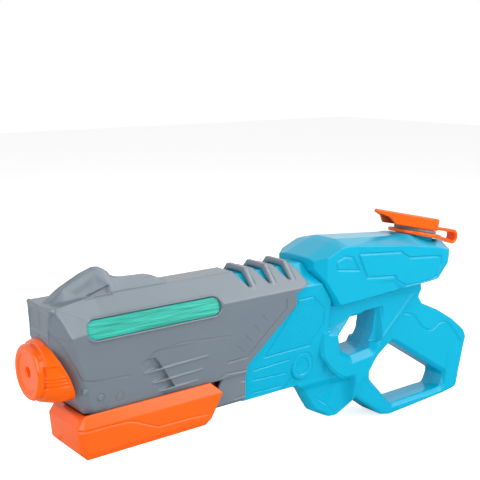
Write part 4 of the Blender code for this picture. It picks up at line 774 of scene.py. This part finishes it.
# %% Frame halves
DOT_FIELD = [(-2.7, 115.6), (11.3, 116.0), (23.8, 104.8), (24.4, 92.1), (13.0, 81.1), (13.5, 78.1),
             (-29.4, 77.5)]
DOT_PITCH = 2.1
DOT_HIGH = 0.32
DOT_MARGIN = 1.4         # the dots stop this far inside the field's outline
ROW_STEP = 0.866         # from row to row in a staggered field, in pitches
FRAME_LINES = [[(-38.3, 69.4), (-5.3, 70.6)], [(-37.4, 61.9), (-6.7, 60.5)], [(-36.2, 52.0), (-10.2, 50.9)],
               [(-1.1, 55.7), (-8.5, 48.1)]]
GRIP_FIELD = [(89.4, 99.5), (103.4, 101.0), (126.5, 99.8), (92.4, 70.0)]
STOCK_LINE = [(120.1, 82.4), (130.7, 79.9), (138.4, 71.1), (141.4, 66.8), (149.8, 62.7), (155.4, 62.3),
              (164.5, 68.0), (174.0, 65.5), (193.5, 44.5)]
STOCK_STUDS = [(173.5, 31.6), (168.3, 9.8)]
STOCK_EDGE = [(174.9, 38.9), (172.3, 10.7)]
STUD_HIGH = 0.4
GUARD_LINE = [(25.8, 83.0), (25.4, 68.4), (28.7, 61.8), (40.0, 50.4), (53.2, 43.2)]
BADGE = (7.6, 62.7)
BADGE_RINGS = [(10.3, 1.5, 0.6), (5.8, 1.4, 0.6)]   # radius, width and depth
KNOB_LINE = [(6.3, 46.4), (11.0, 39.1), (20.3, 34.1), (33.5, 23.2)]
FRAME_GROOVES = [*((line, 1.6, 0.7) for line in FRAME_LINES), (KNOB_LINE, 1.6, 0.5), (STOCK_EDGE, 1.5, 0.5),
                 (eased(GUARD_LINE, 4.0, 5, closed=False), 2.0, 0.9),
                 (eased(STOCK_LINE, 5.0, 6, closed=False), 1.9, 0.85)]
KNOB_BLOCK = ((3.0, 0.0, 10.0), (64.0, 40.0, 60.0))  # the right knob lies in this block
KNOB_HALF = 16.0         # half the solid knob's width
KNOB_SLIM = 0.42         # how much of that the finished knob loses
KNOB_SHIFT = (6.6, -3.9) # and how far its slimmer side lies back and down
KNOB_ROUND = 7.0         # how far its front curves back towards the sides
KNOB_TOP = (43.0, 46.5)  # the change fades out upwards between these z
KNOB_REAR = (50.0, 63.0) # and backwards between these x
KNOB_FRONT = (16.0, 40.0)


def dots(points, pitch, high):
    """A field of round dots in staggered rows: high * cos^2 of the distance to the nearest centre."""
    row = np.round(points[:, 1] / (pitch * ROW_STEP))
    across = points[:, 1] - row * pitch * ROW_STEP
    shifted = points[:, 0] + (row % 2) * pitch / 2.0
    along = shifted - np.round(shifted / pitch) * pitch
    share = np.clip(np.hypot(along, across) / (pitch * 0.45), 0.0, 1.0)
    return high * np.cos(0.5 * np.pi * share) ** 2


def frame_marks(points, normals):
    """Height of the frame's marks on skin that faces outwards."""
    flat = points[:, [0, 2]]
    height = groove(flat, DOT_FIELD, 1.7, 0.7, closed=True)
    height += dots(flat, DOT_PITCH, DOT_HIGH) * (inside(flat, DOT_FIELD) > DOT_MARGIN)
    height += sum(groove(flat, *line) for line in FRAME_GROOVES)
    height += sum(ring(flat, BADGE, *size) for size in BADGE_RINGS)
    height += plateau(flat, GRIP_FIELD, -0.9, 1.0)
    for spot in STOCK_STUDS:
        height += STUD_HIGH * (1.0 - rise(np.linalg.norm(flat - spot, axis=1), 0.8, 1.4))
    return height * outer(points, normals)


def slim_knob(points):
    """Where the knob's points go: y shrinks, and x moves back with the square of y, most in front."""
    x, y, z = points.T
    share = (1.0 - rise(z, *KNOB_TOP)) * (1.0 - rise(x, *KNOB_REAR))
    bend = KNOB_ROUND * (y / KNOB_HALF) ** 2 * (1.0 - rise(x, *KNOB_FRONT))
    step = np.stack([KNOB_SHIFT[0] + bend, -KNOB_SLIM * y, KNOB_SHIFT[1] + 0.0 * z], axis=-1)
    return points + share[:, None] * step


def left_knob():
    """The left side's knob: the right one, cut out with a block and turned over, y to -y."""
    made = kept(whole(("frame_right",)), *KNOB_BLOCK)
    move(made, coordinates(made) * (1, -1, 1))
    return made


body_frame = moulded(("frame_left", "frame_right"), 0.55, 5, frame_marks, [left_knob()])
move(body_frame, slim_knob(coordinates(body_frame)))
halves("frame", body_frame, blue_pp, "blue_plastic")

# %% [markdown]
# ## The tank
# The hollow tank is softer in its edges than the rest. Its sides carry a raised frame round a panel, here
# left bare, a short slanted window ahead of it, and a scoop below the panel's rear.

# %% Tank
PANEL = [(52.0, 142.2), (98.1, 137.9), (108.2, 132.1), (138.8, 129.3), (146.6, 127.8), (146.3, 122.2),
         (140.6, 112.7), (135.2, 110.7), (105.4, 110.1), (94.7, 115.9), (91.9, 119.9), (61.7, 123.1)]
WINDOW = [(29.2, 138.5), (30.5, 140.0), (38.5, 142.3), (46.1, 140.4), (53.0, 130.0), (31.3, 133.3)]
SCOOP = [(60.0, 119.0), (91.0, 116.5), (95.0, 112.5), (105.0, 107.8), (140.0, 108.0), (150.0, 100.0),
         (60.0, 100.0)]
SCOOP_STARTS = (60.0, 110.0)   # the scoop deepens between these x
SCOOP_FLOOR = (104.5, 107.0)   # and ends downwards between these z
NECK = np.array((140.0, 0.0, 140.9))
NECK_LEAN = 0.4         # how far the neck has leant back where it leaves the tank
NECK_DOME = 1.5         # how far the top swells up round the neck
NECK_SWELL = (20.0, 34.0)      # the swelling falls off between these distances from the neck
NECK_WALL = (15.5, 16.0)       # and starts at the neck's own wall


def tank_marks(points, normals):
    """Height of the tank's marks on skin that faces outwards, and of the swelling round its neck."""
    flat = points[:, [0, 2]]
    height = groove(flat, PANEL, 2.2, 1.0, closed=True) + groove(flat, WINDOW, 2.0, 0.9, closed=True)
    fade = rise(flat[:, 0], *SCOOP_STARTS) * rise(flat[:, 1], *SCOOP_FLOOR)
    height += plateau(flat, SCOOP, -1.3, 1.8) * fade
    height *= outer(points, normals)
    from_neck = np.hypot(points[:, 0] - NECK[0] - NECK_LEAN, points[:, 1])
    dome = (1.0 - rise(from_neck, *NECK_SWELL)) * rise(from_neck, *NECK_WALL)
    dome = dome * rise(normals[:, 2], 0.6, 0.85)
    return height + NECK_DOME * dome


piece("tank_shell", lightened(moulded(("water_tank",), 0.5, 6, tank_marks)), blue_pp, "body", "blue_plastic",
      "water_tank")

# %% [markdown]
# ## The filler cap and its strap
# Cap, strap and ring are one soft orange moulding on the real toy, so the strap bends where it loops back.
# It is drawn as one band carried along a path.

# %% Cap, ring, band and strap
NECK_TILT = math.radians(12.3)
NECK_UP = np.array((math.sin(NECK_TILT), 0.0, math.cos(NECK_TILT)))
NECK_BACK = np.array((math.cos(NECK_TILT), 0.0, -math.sin(NECK_TILT)))
LOOP = np.array((184.4, 0.0, 136.6))
LOOP_R = 4.8
STRAP_HALF = 5.0
STRAP_THICK = 2.6
RING_ANCHOR = NECK + NECK_BACK * 21.3 + NECK_UP * 3.7
LID_ANCHOR = NECK + NECK_BACK * 18.4 + NECK_UP * 9.8


def band(path, half_width, thick, steps=5):
    """A rounded band: p(s, t) = path(s) + normal(s) * n(t) + across * w(t)."""
    along = heading(path)
    across = np.array((0.0, 1.0, 0.0))
    normal = np.cross(along, across)
    n, w = thick / 2.0, half_width
    section = eased([(-n, -w), (-n, w), (n, w), (n, -w)], 0.9, steps)
    loops = path[:, None] + normal[:, None] * section[None, :, :1] + across * section[None, :, 1:]
    return capped(path, loops)


def capped(path, loops):
    """Loops of points along a path, closed at both ends by a row that shrinks onto the path."""
    first, last = (path[[end], None].repeat(loops.shape[1], 1) for end in (0, -1))
    return np.concatenate([first, loops, last])


turn = np.linspace(-0.5 * np.pi, 0.5 * np.pi, 40)
bow = LOOP + LOOP_R * (np.cos(turn)[:, None] * (1.0, 0.0, 0.0) + np.sin(turn)[:, None] * (0.0, 0.0, 1.0))
runs = [np.linspace(a, b, 24) for a, b in ((RING_ANCHOR, bow[0]), (bow[-1], LID_ANCHOR))]
strap_path = np.concatenate([runs[0][:-1], bow, runs[1][1:]])
strap = piece("cap_strap", skin("cap_strap", band(strap_path, STRAP_HALF, STRAP_THICK)), orange_pp, None,
              "orange_plastic", "tether_lower", "tether_upper")
bend_middle = (RING_ANCHOR + LID_ANCHOR) / 2.0
bend_way = unit(np.cross(unit(bend_middle - LOOP), (0.0, 1.0, 0.0)))
bend_way = bend_way * np.sign(bend_way[2])
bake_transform(strap)

piece("cap_lid", lightened(moulded(("filler_cap",), 0.4, 5)), orange_pp, "cap", "orange_plastic",
      "filler_cap")
collar = eased([(15.3, 2.2), (15.3, 5.2), (21.2, 5.2), (21.5, 3.7), (21.2, 2.2)], 0.7)
piece("neck_ring", skin("neck_ring", turned(collar, NECK, NECK_UP, 120), wrap_rows=True), orange_pp, "body",
      "orange_plastic", "tether_ring")
# The sealing band sits where the blue neck shows; its blue-grey colour is painted shade of that neck
seal = eased([(15.3, 5.5), (15.3, 7.5), (17.1, 7.5), (17.1, 5.5)], 0.4)
piece("lid_band", skin("lid_band", turned(seal, NECK, NECK_UP, 120), wrap_rows=True), band_painted_shade, "body",
      "grey_plastic", "cap_gasket")

# %% [markdown]
# ## Screws
# Small pan-head screws with a cross recess hold the halves together from the right side. The recess is
# pressed into the turned head by the same kind of height formula as the marks above.

# %% Screws
SCREW_R = 1.5
HEAD_R = 3.2
HEAD_HIGH = 2.4
THREAD_PITCH = 1.3
THREAD_DEEP = 0.25
CROSS_HALF = 0.5
CROSS_REACH = 2.0
CROSS_DEEP = 1.1


def screw_grid(node, turns=64):
    """p(s, t): a domed head with a cross-shaped dip, then a shank whose thread climbs with the turn."""
    low, high = span(node)
    middle = (low + high) / 2.0
    length = high[1] - low[1] - HEAD_HIGH
    dome = np.linspace(0.0, 1.0, 22)[:, None]
    shank = np.linspace(0.0, 1.0, int(length / THREAD_PITCH * 8))[:, None]
    angle = circle(turns)
    radius = np.concatenate([dome * HEAD_R, [[HEAD_R], [HEAD_R], [SCREW_R]], SCREW_R + 0 * shank, [[0.0]]])
    deep = np.concatenate([HEAD_HIGH * 0.55 * dome ** 4, [[HEAD_HIGH * 0.7], [HEAD_HIGH], [HEAD_HIGH]],
                           HEAD_HIGH + length * shank, [[HEAD_HIGH + length]]])
    a, b = radius * np.cos(angle), radius * np.sin(angle)
    cross = rise(CROSS_HALF - np.minimum(np.abs(a), np.abs(b)), -0.1, 0.1)
    cross = cross * rise(CROSS_REACH - radius, 0.0, 0.4)
    deep = deep + CROSS_DEEP * cross * (deep < HEAD_HIGH * 0.6)
    on_shank = rise(deep, HEAD_HIGH + 0.5, HEAD_HIGH + 1.5) * rise(HEAD_HIGH + length - deep, 0.0, 1.0)
    thread = 0.5 - 0.5 * np.cos(angle + 2.0 * np.pi * deep / THREAD_PITCH)
    radius = radius - THREAD_DEEP * thread * on_shank * (radius > 0)
    a, b = radius * np.cos(angle), radius * np.sin(angle)
    return np.stack([middle[0] + a, high[1] - deep, middle[2] + b], axis=-1)


for node in sorted(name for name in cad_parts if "_screw_" in name):
    piece(node + "_steel", skin(node, screw_grid(node)), zinc_steel, "body", "steel", node)

# %% [markdown]
# ## Inside: pump and valves
# The working pieces are simple turnings, and what shows of them is their rounded edges and their finish.
# Each profile is listed as radius and distance along the piece's own axis, and turned like on a lathe.

# %% Turned inner pieces
X_AXIS = (1.0, 0.0, 0.0)
PUMP_Z = 60.5


def inner(node, profile, start, along, material, body, slot, soft=0.3):
    """A turned inner piece with its edges rounded."""
    closed = min(radius for radius, distance in profile) > 0.0
    grid = turned(eased(profile, soft, 4, closed), start, along)
    piece(node + "_turned", skin(node, grid, wrap_rows=closed), material, body, slot, node)


def pipe_profile(node, bore):
    """Profile, start and axis of a tube along X that fills a solid's box."""
    low, high = span(node)
    middle = (low + high) / 2.0
    radius = (high[2] - low[2]) / 2.0
    length = high[0] - low[0]
    profile = [(bore, 0.0), (bore, length), (radius, length), (radius, 0.0)]
    return profile, (low[0], middle[1], middle[2]), X_AXIS


for node, bore, material, slot in (("nozzle_seal", 4.5, nitrile, "black_rubber"),
                                   ("outlet_tube", 4.5, milky_pe, "clear_plastic"),
                                   ("pump_cylinder", 5.6, milky_pe, "clear_plastic")):
    inner(node, *pipe_profile(node, bore), material, "body", slot)

rod_low, rod_high = span("piston_rod")
rod_long = rod_high[0] - rod_low[0]
pin_low, pin_high = span("rod_pin")
pin_x = (pin_low[0] + pin_high[0]) / 2.0
pin_long = pin_high[1] - pin_low[1]
GLAND = [(2.9, 0.0), (2.9, 2.7), (7.3, 2.7), (7.3, 7.0), (8.8, 7.0), (8.8, 1.0), (7.8, 0.0)]
PISTON = [(0.0, 8.0), (2.8, 8.0), (2.8, 0.0), (5.3, 0.0), (5.3, 3.0), (3.6, 3.0), (3.6, 7.0), (5.3, 7.0),
          (5.3, 10.0), (0.0, 10.0)]
PISTON_SEAL = [(3.9, 3.6), (5.3, 3.4), (5.4, 5.0), (5.3, 6.6), (3.9, 6.4)]
ROD = [(0.0, 0.0), (2.5, 0.0), (2.5, rod_long), (0.0, rod_long)]
PIN = [(0.0, 0.0), (1.3, 0.0), (1.3, pin_long), (0.0, pin_long)]
FITTING = [(1.2, 0.0), (1.2, 18.0), (1.7, 18.0), (1.9, 15.5), (1.7, 15.4), (1.9, 12.9), (1.9, 11.0),
           (7.5, 11.0), (7.5, 7.3), (4.9, 7.3), (4.9, 0.0)]
# On the pump's axis: node, profile, the node whose front end it starts from, and the rest as inner takes it
for node, profile, front, *rest in (
        ("cylinder_gland", GLAND, "cylinder_gland", grey_abs, "body", "grey_plastic"),
        ("piston", PISTON, "piston", grey_abs, "pump", "grey_plastic"),
        ("piston_seal", PISTON_SEAL, "piston", nitrile, "pump", "black_rubber", 0.8),
        ("piston_rod", ROD, "piston_rod", zinc_steel, "pump", "steel")):
    inner(node, profile, (span(front)[0][0], 0.0, PUMP_Z), X_AXIS, *rest)
inner("rod_pin", PIN, (pin_x, pin_low[1], PUMP_Z), (0.0, 1.0, 0.0), zinc_steel, "pump", "steel")
inner("inlet_fitting", FITTING, (span("inlet_fitting")[0][0], 0.0, PUMP_Z), X_AXIS, grey_abs, "body",
      "grey_plastic", 0.2)

# %% [markdown]
# Steel balls are ground and tumbled until they are round to a hair, springs are wound from drawn wire and
# hoses are extruded. Each is a circle carried along a line: round a half circle, up a helix, or along a
# smooth route from the valve to the tank.

# %% Balls, spring, hose and grommet
def globe(node):
    """A ball: p(s, t) = middle + R (sin s cos t, sin s sin t, cos s)."""
    low, high = span(node)
    radius = (high[2] - low[2]) / 2.0
    s = np.linspace(0.0, np.pi, 33)
    profile = np.stack([radius * np.sin(s), -radius * np.cos(s)], axis=-1)
    return turned(profile, (low + high) / 2.0, (0.0, 0.0, 1.0), 48)


for way in ("inlet", "outlet"):
    mesh = skin(way + "_bead", globe(way + "_ball"))
    piece(way + "_bead", mesh, zinc_steel, way + "_valve", "steel", way + "_ball")


def swept(path, radius, sides=16):
    """A round bar along a path: p(s, t) = path(s) + r (normal(s) cos t + binormal(s) sin t)."""
    along = heading(path)
    across = np.cross(along, (0.0, 1.0, 0.0) if np.ptp(path[:, 1]) < 0.1 else (0.0, 0.0, 1.0))
    across /= np.linalg.norm(across, axis=1)[:, None]
    other = np.cross(along, across)
    t = circle(sides)
    spoke = across[:, None] * np.cos(t)[:, None] + other[:, None] * np.sin(t)[:, None]
    return path[:, None] + radius * spoke


SPRING_X = -50.0
SPRING_R = 3.0
SPRING_WIRE = 0.5
SPRING_TURNS = 5
spring_low, spring_high = span("outlet_spring")
turn = np.linspace(0.0, 2.0 * np.pi * SPRING_TURNS, 240)
climb = np.linspace(spring_low[2] + SPRING_WIRE, spring_high[2] - SPRING_WIRE, 240)
coil = np.stack([SPRING_X + SPRING_R * np.cos(turn), SPRING_R * np.sin(turn), climb], axis=-1)
wire = capped(coil, swept(coil, SPRING_WIRE))
spring = piece("valve_spring", skin("valve_spring", wire), zinc_steel, "body", "steel", "outlet_spring")
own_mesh(spring)

HOSE_ROUTE = np.array([(-29.7, 60.5), (-25.7, 60.5), (-21.7, 60.5), (-11.7, 66.5), (-8.7, 78.5),
                       (-4.7, 98.5), (6.6, 113.2), (13.0, 118.1), (28.1, 129.6)])
HOSE_R = 3.2
HOSE_BORE = 2.2
GROMMET_BACK = 10.0      # from the hose's end back to the tank's wall


def smooth_route(knots, steps=12):
    """A smooth curve through knots: on each run the cubic whose slopes are half the next less the last."""
    slope = np.gradient(knots, axis=0)
    t = np.linspace(0.0, 1.0, steps, endpoint=False)[None, :, None]
    a, b, u, v = knots[:-1, None], knots[1:, None], slope[:-1, None], slope[1:, None]
    curve = (2 * t ** 3 - 3 * t ** 2 + 1) * a + (t ** 3 - 2 * t ** 2 + t) * u
    curve = curve + (3 * t ** 2 - 2 * t ** 3) * b + (t ** 3 - t ** 2) * v
    return np.concatenate([curve.reshape(-1, knots.shape[1]), knots[-1:]])


route = smooth_route(HOSE_ROUTE)
route = np.stack([route[:, 0], 0.0 * route[:, 0], route[:, 1]], axis=-1)
hose = np.concatenate([swept(route, HOSE_R, 32), swept(route, HOSE_BORE, 32)[::-1]])
piece("hose_tube", skin("hose_tube", hose, wrap_rows=True), milky_pe, "body", "clear_plastic",
      "suction_hose")
inward = unit((HOSE_ROUTE[-1, 0] - HOSE_ROUTE[-2, 0], 0.0, HOSE_ROUTE[-1, 1] - HOSE_ROUTE[-2, 1]))
port = np.array((HOSE_ROUTE[-1, 0], 0.0, HOSE_ROUTE[-1, 1])) - inward * GROMMET_BACK
inner("hose_grommet", [(3.5, -0.5), (3.5, 4.0), (5.9, 4.0), (6.5, 3.4), (6.5, 2.4), (4.3, 2.4), (4.3, -0.5)],
      port, inward, nitrile, "body", "black_rubber")

# %% [markdown]
# Three small mouldings deep inside are right as solids: blocks with bores, whose edges nobody sees. They
# keep their own mesh and only get the grey plastic.

# %% Solids that are right as they are
for node in ("valve_block", "outlet_elbow", "suction_filter"):
    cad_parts[node].material_slots[0].material = grey_abs
print("valve block, elbow and strainer keep their solids")

# %% [markdown]
# ## Floor and light
# A white sweep and four soft boxes in front of the toy: a large key to its right, a narrow strip straight
# ahead that puts a glint on slanted faces, a fill to the left and a weak one from above. The background is
# white because floor and world are white where the camera or a clear plastic sees them, and so is what the
# gloss mirrors behind the toy; in front of it the gloss mirrors a dark room, which keeps the colours deep.
# The light that falls on the toy is a separate, lower level, so its colours come out as they are written.

# %% Levels and floor
FLOOR_SIZE = 6000.0
AMBIENT = 0.27
FLOOR_LIFT = 0.67        # what the camera sees of the floor beside the light that falls on it
ROOM_DARK = 0.06         # the room in front of the toy, as its gloss mirrors it
ROOM_EDGE = (0.0, 0.5)   # share of +Y in a direction, from the dark room to the white sweep behind
SWEEP_EDGE = (-20.0, 160.0)   # the same change on the floor, in y
MIDDLE = np.array((0.0, 0.0, 85.0))
# Each lamp's direction, its distance, its width and height, and its power in watts
LAMPS = {"key": ((0.608, -0.652, 0.454), 1000.0, (800.0, 860.0), 6.0),
         "strip": ((0.0, -0.87, 0.49), 1000.0, (300.0, 520.0), 1.6),
         "fill": ((-0.85, -0.3, 0.43), 1100.0, (800.0, 800.0), 6.3),
         "top": ((0.5, -0.15, 0.85), 900.0, (700.0, 500.0), 2.4)}


def mixed(tree, share, low, high):
    """A level between low and high; each may be a number or a socket."""
    return add(tree, "ShaderNodeMapRange", {"Value": share, "To Min": low, "To Max": high}).outputs["Result"]


def ramp(tree, value, edge):
    """A smooth rise from the dark room to white between two edges."""
    return add(tree, "ShaderNodeMapRange", {"Value": value, "From Min": edge[0], "From Max": edge[1],
                                            "To Min": ROOM_DARK, "To Max": 1.0},
               interpolation_type='SMOOTHSTEP').outputs["Result"]


corners = np.array([[(-1, -1, 0), (-1, 1, 0)], [(1, -1, 0), (1, 1, 0)]]) * FLOOR_SIZE / 2.0
floor = linked("floor", skin("floor", corners, wrap_columns=False))
paper, tree, shader, place = start("matt_white_paper_sweep")
fibre = add(tree, "ShaderNodeTexNoise", {"Vector": place, "Scale": per_metre(2.0), "Detail": 3.0})
tone = add(tree, "ShaderNodeMix", {0: fibre.outputs["Fac"], 6: linear("fafafa"), 7: linear("fdfdfd")},
           data_type='RGBA')
path = add(tree, "ShaderNodeLightPath").outputs
deep = add(tree, "ShaderNodeSeparateXYZ", {"Vector": place}).outputs["Y"]
white = ramp(tree, deep, np.array(SWEEP_EDGE) * MM)
level = mixed(tree, path["Is Glossy Ray"], 1.0, white)
shown = add(tree, "ShaderNodeVectorMath", {0: tone.outputs[2], "Scale": level}, operation='SCALE')
seen = add(tree, "ShaderNodeMath", {0: path["Is Camera Ray"], 1: path["Is Transmission Ray"]},
           operation='MAXIMUM')
feed(tree, shader, {"Base Color": shown.outputs["Vector"], "Roughness": 0.9, "Specular IOR Level": 0.1,
                    "Emission Color": linear("ffffff"),
                    "Emission Strength": mixed(tree, seen.outputs[0], 0.0, FLOOR_LIFT)})
floor.data.materials.append(paper)

print("floor:", FLOOR_SIZE / 1000.0, "m wide")

# %% [markdown]
# The world gives the even light of a white room, and each lamp is a large cloth-covered box: the larger it
# is, the softer the shadow and the broader the shine on the plastic.

# %% World and lamps
world = bpy.data.worlds.new("white_studio")
bpy.context.scene.world = world
world.use_nodes = True
tree = world.node_tree
back = tree.nodes["Background"]
path = add(tree, "ShaderNodeLightPath").outputs
way = add(tree, "ShaderNodeSeparateXYZ", {"Vector": add(tree, "ShaderNodeTexCoord").outputs["Generated"]})
room = ramp(tree, way.outputs["Y"], ROOM_EDGE)
seen = mixed(tree, path["Is Glossy Ray"], mixed(tree, path["Is Transmission Ray"], AMBIENT, 1.0), room)
feed(tree, back, {"Color": linear("ffffff"), "Strength": mixed(tree, path["Is Camera Ray"], seen, 1.0)})


def soft_box(name, way, far, size, power):
    """A rectangular lamp that looks at the toy's middle from a direction."""
    lamp = bpy.data.lights.new(name, 'AREA')
    lamp.shape = 'RECTANGLE'
    lamp.size, lamp.size_y = size[0] * MM, size[1] * MM
    lamp.energy = power
    made = linked(name, lamp)
    made.location = (MIDDLE + unit(way) * far) * MM
    made.rotation_euler = Vector(unit(way)).to_track_quat('Z', 'Y').to_euler()


for name, settings in LAMPS.items():
    soft_box(name, *settings)
bpy.context.scene.view_settings.view_transform = 'Standard'
print("lamps:", {name: settings[-1] for name, settings in LAMPS.items()}, "W, world at", AMBIENT)

# %% [markdown]
# ## Finish
# The dressed toy must still be the size of the solids.

# %% Finish
print("done")
